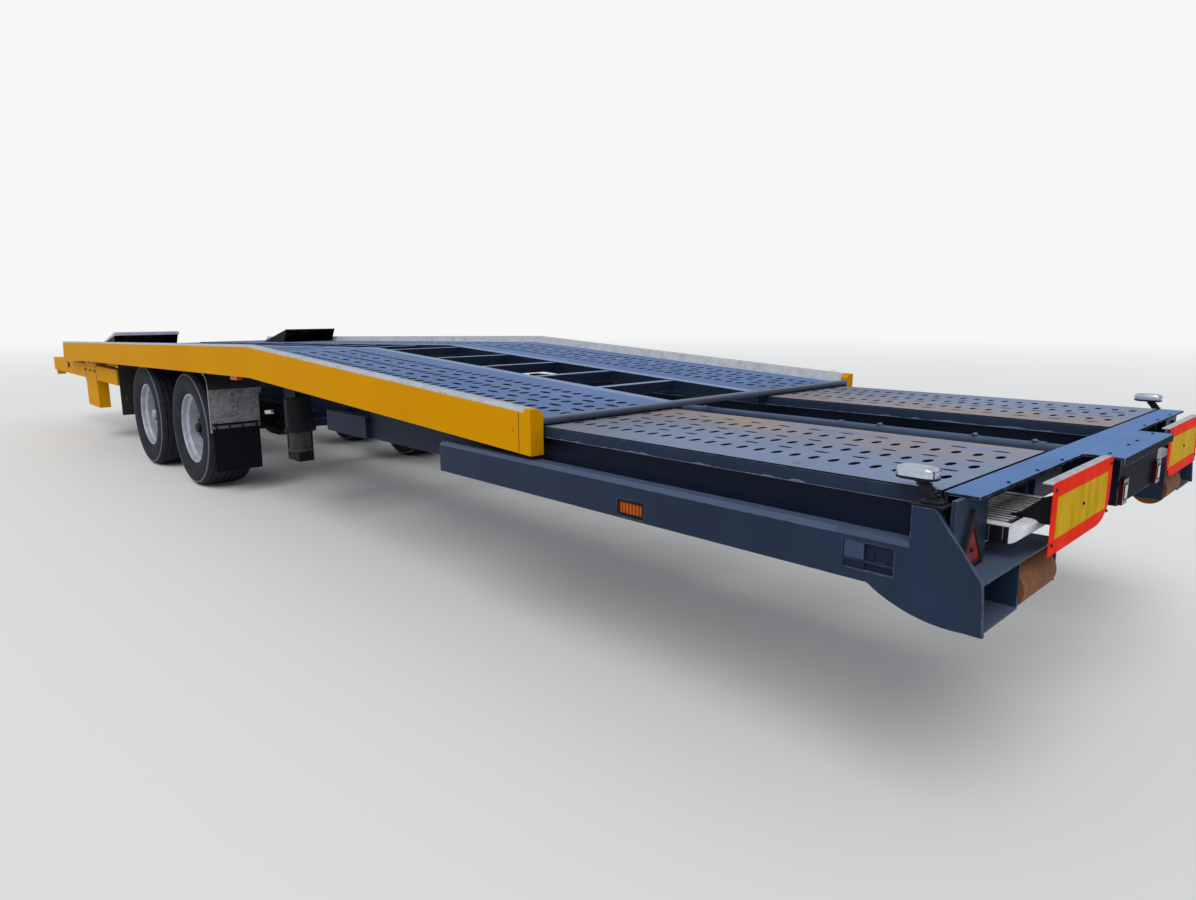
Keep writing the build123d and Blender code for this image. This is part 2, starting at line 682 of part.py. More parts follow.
# Lower tracks: plates with lips turned down on both edges
with BuildPart() as lower_tracks:
    lip_bottom = lower_deck_level - lower_track_lip
    cross_pair([(lower_track_inner, lip_bottom), (lower_track_inner, lower_deck_level),
                (lower_track_outer, lower_deck_level), (lower_track_outer, lip_bottom),
                (lower_track_outer - track_plate, lip_bottom), (lower_track_outer - track_plate, track_underside),
                (lower_track_inner + track_plate, track_underside), (lower_track_inner + track_plate, lip_bottom)],
               lower_track_rear, lower_track_front)
write(lower_tracks, "lower_tracks")

# Side beams of the tail with their guide boxes at the front
with BuildPart() as tail_side_beams:
    cross_pair(channel(side_beam_outer, side_beam_inner, side_beam_bottom, track_underside, channel_wall),
               crossbar_width, lower_track_front)
    bar_pair(lower_track_front, lower_track_front + guide_length, side_beam_inner + side_beam_width / 2,
             side_beam_outer + side_beam_width / 2, side_beam_bottom, side_beam_bottom + guide_length / 4)
write(tail_side_beams, "tail_side_beams")

# Runners that slide along the chassis rails
with BuildPart() as tail_runners:
    cross_pair(channel(runner_inner, runner_outer, runner_bottom, track_underside, channel_wall),
               crossbar_width, runner_front)
write(tail_runners, "tail_runners")

# Members between runners and side beams, struts out to the sills, members between the runners
member_half = 40.0
member_rise = 10.0
member_top = runner_bottom + 100.0
member_stations = [crossbar_width + 110.0, lower_track_front - 2250.0, lower_track_front - 1500.0,
                   lower_track_front - 750.0, lower_track_front - 60.0]
strut_half = 30.0
strut_stations = [gusset_front + 200.0, (gusset_front + sill_front) / 2, sill_front - 60.0]
centre_stations = [crossbar_width + 110.0, rail_rear - 1950.0, rail_rear - 1200.0]
centre_bottom = 800.0
centre_top = 890.0
with BuildPart() as tail_members:
    for station in member_stations:
        cross_pair([(runner_inner + channel_wall, runner_bottom + member_rise),
                    (side_beam_inner, side_beam_bottom + channel_wall),
                    (side_beam_outer - channel_wall, side_beam_bottom + channel_wall),
                    (side_beam_outer - channel_wall, member_top), (runner_inner + channel_wall, member_top)],
                   station - member_half, station + member_half)
    for station in strut_stations:
        bar_pair(station - strut_half, station + strut_half, side_beam_outer, half_width - sill_wall,
                 sill_bottom + 2 * sill_wall, sill_bottom + 9 * sill_wall)
    for station in centre_stations:
        bar(station - member_half, station + member_half, -runner_inner, runner_inner, centre_bottom, centre_top)
write(tail_members, "tail_members")

# Centre pipe on saddles above the members
pipe_y = 77.0
pipe_radius = 22.0
pipe_level = 963.0
pipe_front = rail_rear - 650.0
saddle_half = 12.0
with BuildPart() as centre_pipe:
    long_tube(crossbar_width, pipe_front, pipe_y, pipe_level, pipe_radius)
    for station in centre_stations:
        bar(station - saddle_half, station + saddle_half, pipe_y - pipe_radius, pipe_y + pipe_radius,
            centre_top, pipe_level)
        long_tube(station - saddle_half, station + saddle_half, pipe_y, pipe_level, pipe_radius + 4)
write(centre_pipe, "centre_pipe")

# Sills: channels with the open side inward, closed by a plate at the front end
marker_rear = 1070.0
marker_bottom = sill_bottom + sill_wall
marker_length = 130.0
marker_height = 62.0
marker_depth = 14.0
with BuildPart() as tail_sills:
    cross_pair([(sill_inner, sill_bottom), (half_width, sill_bottom), (half_width, sill_top - sill_chamfer),
                (half_width - sill_chamfer, sill_top), (sill_inner, sill_top), (sill_inner, sill_top - sill_wall),
                (half_width - sill_chamfer, sill_top - sill_wall), (half_width - sill_wall, sill_top - sill_chamfer),
                (half_width - sill_wall, sill_bottom + sill_wall), (sill_inner, sill_bottom + sill_wall)],
               gusset_front, sill_front)
    cross_pair([(sill_inner, sill_bottom), (half_width, sill_bottom), (half_width, sill_top - sill_chamfer),
                (half_width - sill_chamfer, sill_top), (sill_inner, sill_top)], sill_front - sill_wall, sill_front)
    bar_pair(marker_rear, marker_rear + marker_length, half_width - sill_wall, half_width,
             marker_bottom, marker_bottom + marker_height, Mode.SUBTRACT)
write(tail_sills, "tail_sills")

# Gussets: a side plate with a curved belly and a window for the pocket
gusset_points = [(250, sill_bottom), (gusset_front, sill_bottom), (gusset_front, sill_top), (140, sill_top),
                 (140, 972), (80, 972), (-45, 808), (-55, 671), (-10, 671)]
belly_middle = (135, 685)
pocket_rear = 178.0
pocket_front = 322.0
pocket_bottom = 768.0
pocket_top = 845.0
pocket_edge = 10.0
with BuildPart() as tail_gussets:
    with BuildSketch(Plane.XZ) as gusset_outline:
        with BuildLine():
            Polyline([(at(station), height) for station, height in gusset_points])
            ThreePointArc((at(gusset_points[-1][0]), gusset_points[-1][1]), (at(belly_middle[0]), belly_middle[1]),
                          (at(gusset_points[0][0]), gusset_points[0][1]))
        make_face()
    for y_from in (gusset_inner, -half_width):
        extrude(gusset_outline.sketch.moved(Location((0, y_from, 0))), amount=-gusset_plate)
    bar_pair(pocket_rear, pocket_front, gusset_inner, half_width, pocket_bottom, pocket_top, Mode.SUBTRACT)
write(tail_gussets, "tail_gussets")

# Pocket boxes behind the windows
pocket_depth = 20.0
with BuildPart() as pocket_boxes:
    bar_pair(pocket_rear - pocket_edge, pocket_front + pocket_edge, gusset_inner - pocket_depth, gusset_inner,
             pocket_bottom - pocket_edge, pocket_top + pocket_edge)
    bar_pair(pocket_front - 60, pocket_front, gusset_inner, half_width - gusset_plate / 2,
             pocket_bottom, pocket_top)
write(pocket_boxes, "pocket_boxes")

# Tail boxes beside the gussets, open to the rear, with the brackets of the rollers
box_rear = -45.0
box_wall = 6.0
box_inner = half_width - 270.0
bracket_inner = half_width - 575.0
box_bottom = 677.0
box_top = 800.0
with BuildPart() as tail_boxes:
    bar_pair(box_rear, crossbar_width, bracket_inner, gusset_inner, box_top, box_top + box_wall)
    bar_pair(box_rear, crossbar_width, box_inner, gusset_inner, box_bottom - box_wall, box_bottom)
    bar_pair(box_rear, crossbar_width, box_inner, box_inner + box_wall, box_bottom, box_top)
    bar_pair(box_rear, crossbar_width, bracket_inner, bracket_inner + box_wall, box_bottom, box_top)
    bar_pair(crossbar_width - box_wall, crossbar_width, bracket_inner, gusset_inner, box_bottom, box_top)
    bar_pair(34, 34 + gusset_plate, side_beam_inner - member_half, gusset_inner,
             box_top + box_wall, lower_deck_level - channel_wall)
write(tail_boxes, "tail_boxes")

# Ground rollers between the brackets
roller_radius = 65.0
roller_level = 715.0
roller_station = 10.0
roller_gap = 14.0
roller_shaft = 15.0
with BuildPart() as tail_rollers:
    for side in (1, -1):
        cross_tube(roller_station, roller_level, roller_radius, side * (bracket_inner + box_wall + roller_gap),
                   side * (box_inner - roller_gap))
        cross_tube(roller_station, roller_level, roller_shaft, side * (bracket_inner + box_wall),
                   side * box_inner)
write(tail_rollers, "tail_rollers")

# Three-cornered reflectors on the uprights
reflector_width = 145.0
reflector_height = 124.0
reflector_thick = 8.0
reflector_y = half_width - 110.0
reflector_bottom = box_top + box_wall + 3
with BuildPart() as tail_reflectors:
    cross_pair([(reflector_y - reflector_width / 2, reflector_bottom),
                (reflector_y + reflector_width / 2, reflector_bottom),
                (reflector_y, reflector_bottom + reflector_height)], 34 - reflector_thick, 34)
write(tail_reflectors, "tail_reflectors")

# Centre plate behind the crossbar, with a lip, a lamp box below and a lamp near each end of it
centre_half = 350.0
plate_wall = 8.0
plate_lip = 28.0
lamp_box_half = 262.0
lamp_box_rear = -88.0
lamp_box_bottom = 830.0
with BuildPart() as centre_plate:
    bar(-centre_plate_reach, 0, -centre_half, centre_half, lower_deck_level - plate_wall, lower_deck_level)
    bar(-centre_plate_reach, plate_wall - centre_plate_reach, -centre_half, centre_half,
        lower_deck_level - plate_lip, lower_deck_level)
    bar(lamp_box_rear, crossbar_width - channel_wall, -lamp_box_half, lamp_box_half,
        lamp_box_bottom, lower_deck_level - plate_wall)
write(centre_plate, "centre_plate")
lamp_width = 60.0
lamp_height = 85.0
lamp_depth = 14.0
with BuildPart() as tail_lamps:
    bar_pair(lamp_box_rear - lamp_depth, lamp_box_rear, lamp_box_half - lamp_width, lamp_box_half,
             lamp_box_bottom + 5, lamp_box_bottom + 5 + lamp_height)
write(tail_lamps, "tail_lamps")

# Corner lamps: a foot on a small plate, a stalk that leans forward, and the lamp on top
foot_plate_top = 978.0
foot_y = half_width - 39.0
foot_half = 30.0
stalk_base = 990.0
stalk_top = 1034.0
stalk_lean = 38.0
head_rear = 92.0
head_front = 202.0
head_top = 1070.0
head_half = 30.0
head_round = 14.0
with BuildPart() as corner_lamp_feet:
    bar_pair(60, 145, crossbar_half, half_width, foot_plate_top - box_wall, foot_plate_top)
    bar_pair(75, 135, foot_y - foot_half, foot_y + foot_half, foot_plate_top, stalk_base)
    side_pair([(88, stalk_base), (128, stalk_base), (128 + stalk_lean, stalk_top), (88 + stalk_lean, stalk_top)],
              foot_y - foot_half / 2, foot_y + foot_half / 2)
write(corner_lamp_feet, "corner_lamp_feet")
with BuildPart() as corner_lamps:
    bar_pair(head_rear, head_front, foot_y - head_half, foot_y + head_half, stalk_top, head_top)
    fillet(corner_lamps.edges().filter_by(Axis.Z), head_round)
    fillet(corner_lamps.faces().filter_by(Axis.Z).group_by(Axis.Z)[-1].edges(), head_round / 2)
write(corner_lamps, "corner_lamps")

# Side marker lamps: let into the sills, under the bend of the fascias, and on the front side beams
with BuildPart() as sill_markers:
    bar_pair(marker_rear, marker_rear + marker_length, half_width - marker_depth, half_width,
             marker_bottom, marker_bottom + marker_height)
write(sill_markers, "sill_markers")
bend_marker = deck_bend + 270.0
bend_marker_top = deck_level(bend_marker) + fascia_rise - fascia_bend_depth
with BuildPart() as deck_markers:
    strip = deck_strip(fascia_rise - fascia_bend_depth, fascia_bend_depth - fascia_rise + 2 * marker_depth,
                       bend_marker, bend_marker + marker_length)
    side_pair(strip, fascia_inner + marker_depth, half_width - marker_depth)
write(deck_markers, "deck_markers")

# Loading ramps under the lower tracks: side rails with rungs across, each with its marker board
ramp_rear = -50.0
ramp_front = 1900.0
ramp_side = 55.0
ramp_inner = runner_outer + ramp_side
ramp_outer = side_beam_inner - ramp_side
ramp_bottom = member_top + slide_gap
ramp_height = 60.0
ramp_rail = 28.0
ramp_toe = 120.0
toe_height = 24.0
rung_pitch = 75.0
rung_length = 34.0
rung_count = int((ramp_front - ramp_rear - rung_pitch / 2) // rung_pitch)
board_plate = 4.0
board_rear = -96.0
board_width = 565.0
board_height = 200.0
board_outer = half_width - 305.0
board_rise = 12.0
board_bracket = 15.0
board_strap = 6.0
for name, side in side_table:
    with BuildPart() as loading_ramp:
        ramp_outline = [(ramp_rear, ramp_bottom + ramp_height - toe_height), (ramp_rear, ramp_bottom + ramp_height),
                        (ramp_front, ramp_bottom + ramp_height), (ramp_front, ramp_bottom),
                        (ramp_rear + ramp_toe, ramp_bottom)]
        for y_from in (ramp_inner, ramp_outer - ramp_rail):
            edges = sorted((side * y_from, side * (y_from + ramp_rail)))
            side_sheet(ramp_outline, edges[0], edges[1])
        for index in range(rung_count):
            start = ramp_rear + index * rung_pitch
            bar(start, start + rung_length, -(ramp_outer - ramp_inner - ramp_rail) / 2 + side * (ramp_inner + ramp_outer) / 2,
                (ramp_outer - ramp_inner - ramp_rail) / 2 + side * (ramp_inner + ramp_outer) / 2,
                ramp_bottom + ramp_height - toe_height, ramp_bottom + ramp_height)
    write(loading_ramp, f"loading_ramp_{name}")
    with BuildPart() as marker_board:
        edges = sorted((side * (board_outer - board_width), side * board_outer))
        bar(board_rear, board_rear + board_plate, edges[0], edges[1],
            lower_deck_level + board_rise - board_height, lower_deck_level + board_rise)
        for y in (ramp_inner + ramp_rail, ramp_outer - 4 * ramp_rail):
            bar(board_rear + board_plate, ramp_rear, side * y - board_bracket, side * y + board_bracket,
                ramp_bottom + ramp_height - toe_height, ramp_bottom + ramp_height - toe_height + board_strap)
    write(marker_board, f"marker_board_{name}")

# Wheels: tyre and rim sections as (distance outward from the tyre's middle, radius)
bead_radius = bead_diameter / 2
tread_radius = tyre_diameter / 2
tread_half = 148.0
shoulder_half = 174.0
shoulder_radius = 455.0
sidewall_radius = 385.0
flange_round = 2.0
hub_radius = 118.0
hub_reach = 118.0
drum_radius = backing_radius
drum_outer = 15.0
stub_reach = bead_half / 3 + 10
drum_inner = backing_inner + backing_width + drum_gap - tyre_middle
for place, station in axle_table:
    for name, side in side_table:
        centre = (at(station), side * tyre_middle, axle_height)
        section = Plane(origin=centre, x_dir=(0, side, 0), z_dir=(side, 0, 0))
        spin = Axis(centre, (0, 1, 0))
        with BuildPart() as tyre:
            with BuildSketch(section):
                with BuildLine():
                    for turn in (-1, 1):
                        Line((turn * bead_half, bead_radius),
                             (turn * bead_half, bead_radius + rim_flange + flange_round))
                        ThreePointArc((turn * bead_half, bead_radius + rim_flange + flange_round),
                                      (turn * tyre_width / 2, sidewall_radius),
                                      (turn * shoulder_half, shoulder_radius))
                        Line((turn * shoulder_half, shoulder_radius), (turn * tread_half, tread_radius))
                    Line((-tread_half, tread_radius), (tread_half, tread_radius))
                    Line((-bead_half, bead_radius), (bead_half, bead_radius))
                make_face()
            revolve(axis=spin)
        write(tyre, f"tyre_{place}_{name}")
        with BuildPart() as rim:
            with BuildSketch(section):
                with BuildLine():
                    Polyline([(-bead_half, bead_radius), (bead_half, bead_radius),
                              (bead_half, bead_radius + rim_flange), (bead_half + 13, bead_radius + rim_flange),
                              (bead_half + 13, bead_radius - 12), (bead_half - 44, bead_radius - 26),
                              (bead_half - 70, bead_radius - 50), (48, 226), (42, 150), (60, hub_radius + 14),
                              (60, hub_radius), (hub_reach, hub_radius - 24), (hub_reach + 12, hub_radius - 50),
                              (hub_reach + 12, 0), (stub_reach, 0), (stub_reach, stub_diameter / 2),
                              (drum_inner, stub_diameter / 2), (drum_inner, drum_radius),
                              (drum_outer, drum_radius), (drum_outer + 14, drum_radius + 16),
                              (-20, bead_radius - 42), (-bead_half, bead_radius - 12)], close=True)
                make_face()
            revolve(axis=spin)
        write(rim, f"rim_{place}_{name}")
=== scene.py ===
# %% [markdown]
# # A two-axle car transporter trailer
# Two decks of perforated plate carry the cars: a bent upper deck on lifting columns, and a low
# tail with two loading ramps under it. The CAD model gives every main form. This lesson loads
# it as a fixed frame, and adds the punched holes, tyres, rims, bolts, welds, dust and rust that
# the source leaves out.

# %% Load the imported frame
import math

import bmesh
import bpy
from mathutils import Matrix, Vector


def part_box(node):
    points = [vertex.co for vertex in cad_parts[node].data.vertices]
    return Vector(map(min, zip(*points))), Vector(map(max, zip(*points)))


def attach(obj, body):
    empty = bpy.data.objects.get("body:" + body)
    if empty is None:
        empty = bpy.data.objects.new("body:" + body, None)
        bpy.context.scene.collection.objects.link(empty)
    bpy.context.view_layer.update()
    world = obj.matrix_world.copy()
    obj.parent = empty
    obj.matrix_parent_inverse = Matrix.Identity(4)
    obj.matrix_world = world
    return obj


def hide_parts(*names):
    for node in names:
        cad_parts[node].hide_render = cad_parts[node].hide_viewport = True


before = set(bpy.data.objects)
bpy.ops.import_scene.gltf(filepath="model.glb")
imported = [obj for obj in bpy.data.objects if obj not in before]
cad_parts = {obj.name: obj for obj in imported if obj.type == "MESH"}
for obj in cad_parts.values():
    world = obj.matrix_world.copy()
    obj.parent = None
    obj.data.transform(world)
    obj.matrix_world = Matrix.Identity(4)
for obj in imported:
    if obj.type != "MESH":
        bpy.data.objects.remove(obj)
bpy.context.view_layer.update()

tail_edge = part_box("tail_crossbar")[0].x
SIDES = ((1, "left"), (-1, "right"))


def add_object(name, data):
    obj = bpy.data.objects.new(name, data)
    bpy.context.scene.collection.objects.link(obj)
    return obj


# %% [markdown]
# ## The camera
# A phone stood near the left rear corner, a little above eye height of a seated person. The
# place, the direction and the lens come from fitting the trailer's edges in the photograph,
# held by the usual sizes of such a trailer, so the two pictures can be compared.

# %% Camera
image_width = 1196
focal_pixels = 775.12
lens_data = bpy.data.cameras.new("phone_lens")
lens_data.sensor_fit = "HORIZONTAL"
lens_data.sensor_width = 36.0
lens_data.lens = focal_pixels / image_width * lens_data.sensor_width
camera = add_object("phone", lens_data)
ahead = Vector((0.71150935, -0.68033506, -0.17578011))
to_right = Vector((-0.69143431, -0.7224345, -0.00264226))
upward = Vector((0.12519199, -0.12342039, 0.98442591))
turn = Matrix((to_right, upward, -ahead)).transposed().to_4x4()
camera.matrix_world = Matrix.Translation((-7.1057, 3.178, 1.4595)) @ turn
bpy.context.scene.camera = camera
print("lens", round(lens_data.lens, 2), "mm")

# %% [markdown]
# ## Nodes without clutter
# Materials and Geometry Nodes are both trees of nodes. One helper adds a node and fills its
# sockets: a number or colour is set on the socket, and another node's output is linked to it.

# %% Node helpers
def tone(red, green, blue):
    """A screen colour, 0 to 255, as the linear colour that shaders use."""
    line = []
    for part in (red, green, blue):
        part = part / 255.0
        line.append(part / 12.92 if part <= 0.04045 else ((part + 0.055) / 1.055) ** 2.4)
    return (*line, 1.0)


def plug(tree, socket, value):
    """Links or sets a socket. Three numbers for a colour are a screen colour."""
    if isinstance(value, bpy.types.NodeSocket):
        tree.links.new(value, socket)
    elif socket.type == "RGBA" and len(value) == 3:
        socket.default_value = tone(*value)
    else:
        socket.default_value = value


def add_node(tree, kind, *in_order, settings=None, **by_name):
    node = tree.nodes.new(kind)
    for key, value in (settings or {}).items():
        setattr(node, key, value)
    for index, value in enumerate(in_order):
        plug(tree, node.inputs[index], value)
    for key, value in by_name.items():
        plug(tree, node.inputs[key.replace("_", " ")], value)
    return node


def math_node(tree, operation, *values, clamp=False):
    settings = {"operation": operation, "use_clamp": clamp}
    return add_node(tree, "ShaderNodeMath", *values, settings=settings).outputs[0]


def times(tree, product, *factors, clamp=False):
    """The product of all values. Only the last one is clamped."""
    for place, factor in enumerate(factors, 1):
        product = math_node(tree, "MULTIPLY", product, factor, clamp=clamp and place == len(factors))
    return product


def above(tree, value, limit):
    return math_node(tree, "GREATER_THAN", value, limit)


def below(tree, value, limit):
    return math_node(tree, "LESS_THAN", value, limit)


def remap(tree, value, low, high, to_low=0.0, to_high=1.0):
    return add_node(tree, "ShaderNodeMapRange", value, low, high, to_low, to_high).outputs[0]


def mix_colours(tree, factor, first, second):
    node = tree.nodes.new("ShaderNodeMix")
    node.data_type = "RGBA"
    for index, value in ((0, factor), (6, first), (7, second)):
        plug(tree, node.inputs[index], value)
    return node.outputs[2]


def vector_math(tree, operation, *vectors):
    return add_node(tree, "ShaderNodeVectorMath", *vectors, settings={"operation": operation}).outputs


def split(tree, vector):
    return add_node(tree, "ShaderNodeSeparateXYZ", vector).outputs


def object_place(tree):
    return add_node(tree, "ShaderNodeTexCoord").outputs["Object"]


def face_normal(tree):
    return add_node(tree, "ShaderNodeNewGeometry").outputs["Normal"]


VALUE_SOCKETS = {int: "NodeSocketInt", float: "NodeSocketFloat", 3: "NodeSocketVector", 4: "NodeSocketColor"}
NAMED_SOCKETS = {
    "Geometry": "NodeSocketGeometry", "Material": "NodeSocketMaterial", "Color": "NodeSocketColor",
}


def start_group(name, outputs, kind="ShaderNodeTree", **inputs):
    """A node group. An input's type follows from its name or from its first value."""
    tree = bpy.data.node_groups.new(name, kind)
    for key, value in inputs.items():
        label = key.replace("_", " ")
        form = len(value) if isinstance(value, tuple) else type(value)
        socket_type = NAMED_SOCKETS.get(label) or VALUE_SOCKETS[form]
        socket = tree.interface.new_socket(label, in_out="INPUT", socket_type=socket_type)
        if value is not None:
            socket.default_value = value
    for label in outputs:
        socket_type = NAMED_SOCKETS.get(label, "NodeSocketFloat")
        tree.interface.new_socket(label, in_out="OUTPUT", socket_type=socket_type)
    given = tree.nodes.new("NodeGroupInput").outputs
    return tree, given, tree.nodes.new("NodeGroupOutput").inputs


def place_group(tree, group, **by_name):
    return add_node(tree, "ShaderNodeGroup", settings={"node_tree": group}, **by_name).outputs


GREY = (0.5, 0.5, 0.5, 1.0)
print("slate blue is", [round(part, 3) for part in tone(52, 64, 86)])

# %% [markdown]
# ## Effects that many finishes share
# Cloudy patches, settled dust, worn edges, rust and fine grain turn up on nearly every surface
# of a working trailer. Tops get a paler, bluer painted highlight that stands for the sky's light,
# so they read lighter than sides. Each effect is one node group, built once. The patterns read
# Object coordinates, and all pieces share one frame, so a stain runs on from a beam to its bracket.

# %% Patches
patches, given, result = start_group(
    "patches", ("Mask",), Scale=2.0, Stretch=(1.0, 1.0, 1.0), Low=0.4, High=0.6,
)
stretched = vector_math(patches, "MULTIPLY", object_place(patches), given["Stretch"])[0]
clouds = add_node(
    patches, "ShaderNodeTexNoise", Vector=stretched, Scale=given["Scale"], Detail=6.0, Roughness=0.6,
).outputs["Fac"]
plug(patches, result["Mask"], remap(patches, clouds, given["Low"], given["High"]))


def cloud(tree, scale, low, high, stretch=(1.0, 1.0, 1.0)):
    return place_group(tree, patches, Scale=scale, Stretch=stretch, Low=low, High=high)["Mask"]


def lay_over(tree, given, result, mask, colour):
    """Ends a group that covers its colour with another where the mask is."""
    plug(tree, result["Mask"], mask)
    plug(tree, result["Color"], mix_colours(tree, mask, given["Color"], colour))


print("patches has", len(patches.nodes), "nodes")

# %% Settled dust
dust, given, result = start_group(
    "settled_dust", ("Color", "Mask"), Color=GREY, Dust=tone(150, 142, 128), Amount=0.5, Everywhere=0.1,
)
lift = split(dust, face_normal(dust))["Z"]
level = math_node(dust, "MAXIMUM", remap(dust, lift, 0.3, 0.95), given["Everywhere"])
broad, small = cloud(dust, 1.6, 0.28, 0.62), cloud(dust, 38.0, 0.2, 0.75)
film = times(dust, broad, small, level, given["Amount"], clamp=True)
lay_over(dust, given, result, film, given["Dust"])
print("settled_dust has", len(dust.nodes), "nodes")

# %% Worn edges
edges, given, result = start_group(
    "worn_edges", ("Color", "Mask"), Color=GREY, Bare=tone(120, 128, 140), Width=0.006, Amount=0.7,
)
rounded = add_node(edges, "ShaderNodeBevel", given["Width"], settings={"samples": 4}).outputs[0]
same = vector_math(edges, "DOT_PRODUCT", rounded, face_normal(edges))["Value"]
chips = cloud(edges, 26.0, 0.38, 0.62)
worn = times(edges, remap(edges, same, 0.995, 0.86), chips, given["Amount"], clamp=True)
lay_over(edges, given, result, worn, given["Bare"])
print("worn_edges has", len(edges.nodes), "nodes")

# %% Painted top highlight
top_highlight, given, result = start_group(
    "chalky_tops", ("Color", "Mask"), Color=GREY, Chalk=tone(110, 134, 172), Amount=0.8,
)
lift = split(top_highlight, face_normal(top_highlight))["Z"]
blotch = remap(top_highlight, cloud(top_highlight, 2.4, 0.1, 0.6), 0.0, 1.0, 0.8, 1.0)
# Faces that look up get a painted highlight in the Highlight colour, standing for the sky's light.
film = times(top_highlight, remap(top_highlight, lift, 0.3, 0.96), given["Amount"], blotch, clamp=True)
lay_over(top_highlight, given, result, film, given["Chalk"])
print("chalky_tops has", len(top_highlight.nodes), "nodes")

# %% Rust
rust, given, result = start_group(
    "rust_bloom", ("Color", "Mask", "Height"), Color=GREY, Amount=0.3, Scale=9.0,
)
start = math_node(rust, "SUBTRACT", 0.78, times(rust, given["Amount"], 0.42))
spots = cloud(rust, given["Scale"], start, math_node(rust, "ADD", start, 0.09))
crust = cloud(rust, 70.0, 0.3, 0.7)
plug(rust, result["Height"], times(rust, spots, crust))
lay_over(rust, given, result, spots, mix_colours(rust, crust, (74, 43, 28), (150, 88, 44)))
print("rust_bloom has", len(rust.nodes), "nodes")

# %% Fine grain
grain, given, result = start_group("fine_grain", ("Height",), Scale=180.0)
speckle = add_node(grain, "ShaderNodeTexNoise", Vector=object_place(grain), Scale=given["Scale"], Detail=3.0)
plug(grain, result["Height"], speckle.outputs["Fac"])


def fine(tree, scale):
    return place_group(tree, grain, Scale=scale)["Height"]


print("fine_grain has", len(grain.nodes), "nodes")

# %% [markdown]
# ## Painted steel
# The frame, the deck and the side plates are all painted steel that has stood outside. They
# share a recipe, and differ in colour, dust, rust and how far the edges have worn. Bump and
# roughness follow the same masks as the colour, so a rusty spot is also rough.

# %% Painted steel recipe
looks = {}


def start_material(name):
    material = bpy.data.materials.new(name)
    material.use_nodes = True
    looks[name] = material
    return material.node_tree, material.node_tree.nodes["Principled BSDF"].inputs


def surface(tree, shader, colour, rough, height, relief, **others):
    """Fills the shader. rough is (mask, least, most), and relief is (strength, depth in metres)."""
    mask, least, most = rough
    strength, depth = relief
    plug(tree, shader["Base Color"], colour)
    plug(tree, shader["Roughness"], remap(tree, mask, 0.0, 1.0, least, most))
    bumps = add_node(tree, "ShaderNodeBump", Strength=strength, Distance=depth, Height=height)
    plug(tree, shader["Normal"], bumps.outputs["Normal"])
    for key, value in others.items():
        plug(tree, shader[key.replace("_", " ")], value)


def painted_steel(
    name, paint, faded, highlight_tone, chalk_amount, dust_amount, rust_amount, bare, wear, gloss,
    cover=0.02, rust_scale=9.0, streaks=0.4, shine=0.15, dust_tone=(104, 112, 126), index=1.45, extra=None,
):
    tree, shader = start_material(name)
    colour = mix_colours(tree, cloud(tree, 1.3, 0.3, 0.7), paint, faded)
    streak = cloud(tree, 1.0, 0.45, 0.8, (14.0, 14.0, 1.2))
    darker = tuple(part * 0.62 for part in tone(*paint)[:3]) + (1.0,)
    colour = mix_colours(tree, times(tree, streak, streaks), colour, darker)
    # Tops get a painted highlight, standing for the sky's light.
    colour = place_group(tree, top_highlight, Color=colour, Chalk=highlight_tone, Amount=chalk_amount)["Color"]
    if extra:
        colour, wear = extra(tree, colour, wear)
    rusty = place_group(tree, rust, Color=colour, Amount=rust_amount, Scale=rust_scale)
    worn = place_group(tree, edges, Color=rusty["Color"], Bare=bare, Width=0.005, Amount=wear)
    dusty = place_group(tree, dust, Color=worn["Color"], Dust=dust_tone, Amount=dust_amount, Everywhere=cover)
    rough = math_node(tree, "MAXIMUM", rusty["Mask"], dusty["Mask"])
    height = math_node(tree, "ADD", times(tree, fine(tree, 150.0), 0.5), rusty["Height"])
    surface(
        tree, shader, dusty["Color"], (rough, gloss, 0.88), height, (0.25, 0.0015),
        Specular_IOR_Level=shine, IOR=index,
    )


def painted_fold_highlight(tree, colour, wear):
    """A pale band of painted highlight, for the lit top of the folded edge, runs from the sill on over the
    gusset, and their joint is filled.
    """
    fold_start, joint = tail_edge + 0.14, tail_edge + 0.345
    fold_bottom, fold_top = 0.859, 0.8735
    spot = split(tree, object_place(tree))
    off_joint = math_node(tree, "ABSOLUTE", math_node(tree, "SUBTRACT", spot["X"], joint))
    wear = times(tree, remap(tree, off_joint, 0.02, 0.05), wear)
    # The band is a painted highlight, standing for light on the fold's top.
    band = times(
        tree, above(tree, spot["Z"], fold_bottom), below(tree, spot["Z"], fold_top),
        above(tree, spot["X"], fold_start), 0.85,
    )
    return mix_colours(tree, band, colour, (70, 84, 110)), wear


def chipped_lower_edge(tree, colour, wear):
    """Chains and wheels have chipped the lip's lower edge in long patches."""
    lip_bottom, chip_height = 0.9612, 0.0065
    where = object_place(tree)
    along = vector_math(tree, "MULTIPLY", where, (1.0, 1.0, 0.0))[0]
    noise = add_node(tree, "ShaderNodeTexNoise", along, Scale=4.0, Detail=5.0, Roughness=0.75).outputs["Fac"]
    reach = math_node(tree, "ADD", lip_bottom, times(tree, remap(tree, noise, 0.5, 0.62), chip_height))
    chipped = times(tree, below(tree, split(tree, where)["Z"], reach), 0.8)
    return mix_colours(tree, chipped, colour, (104, 117, 138)), wear
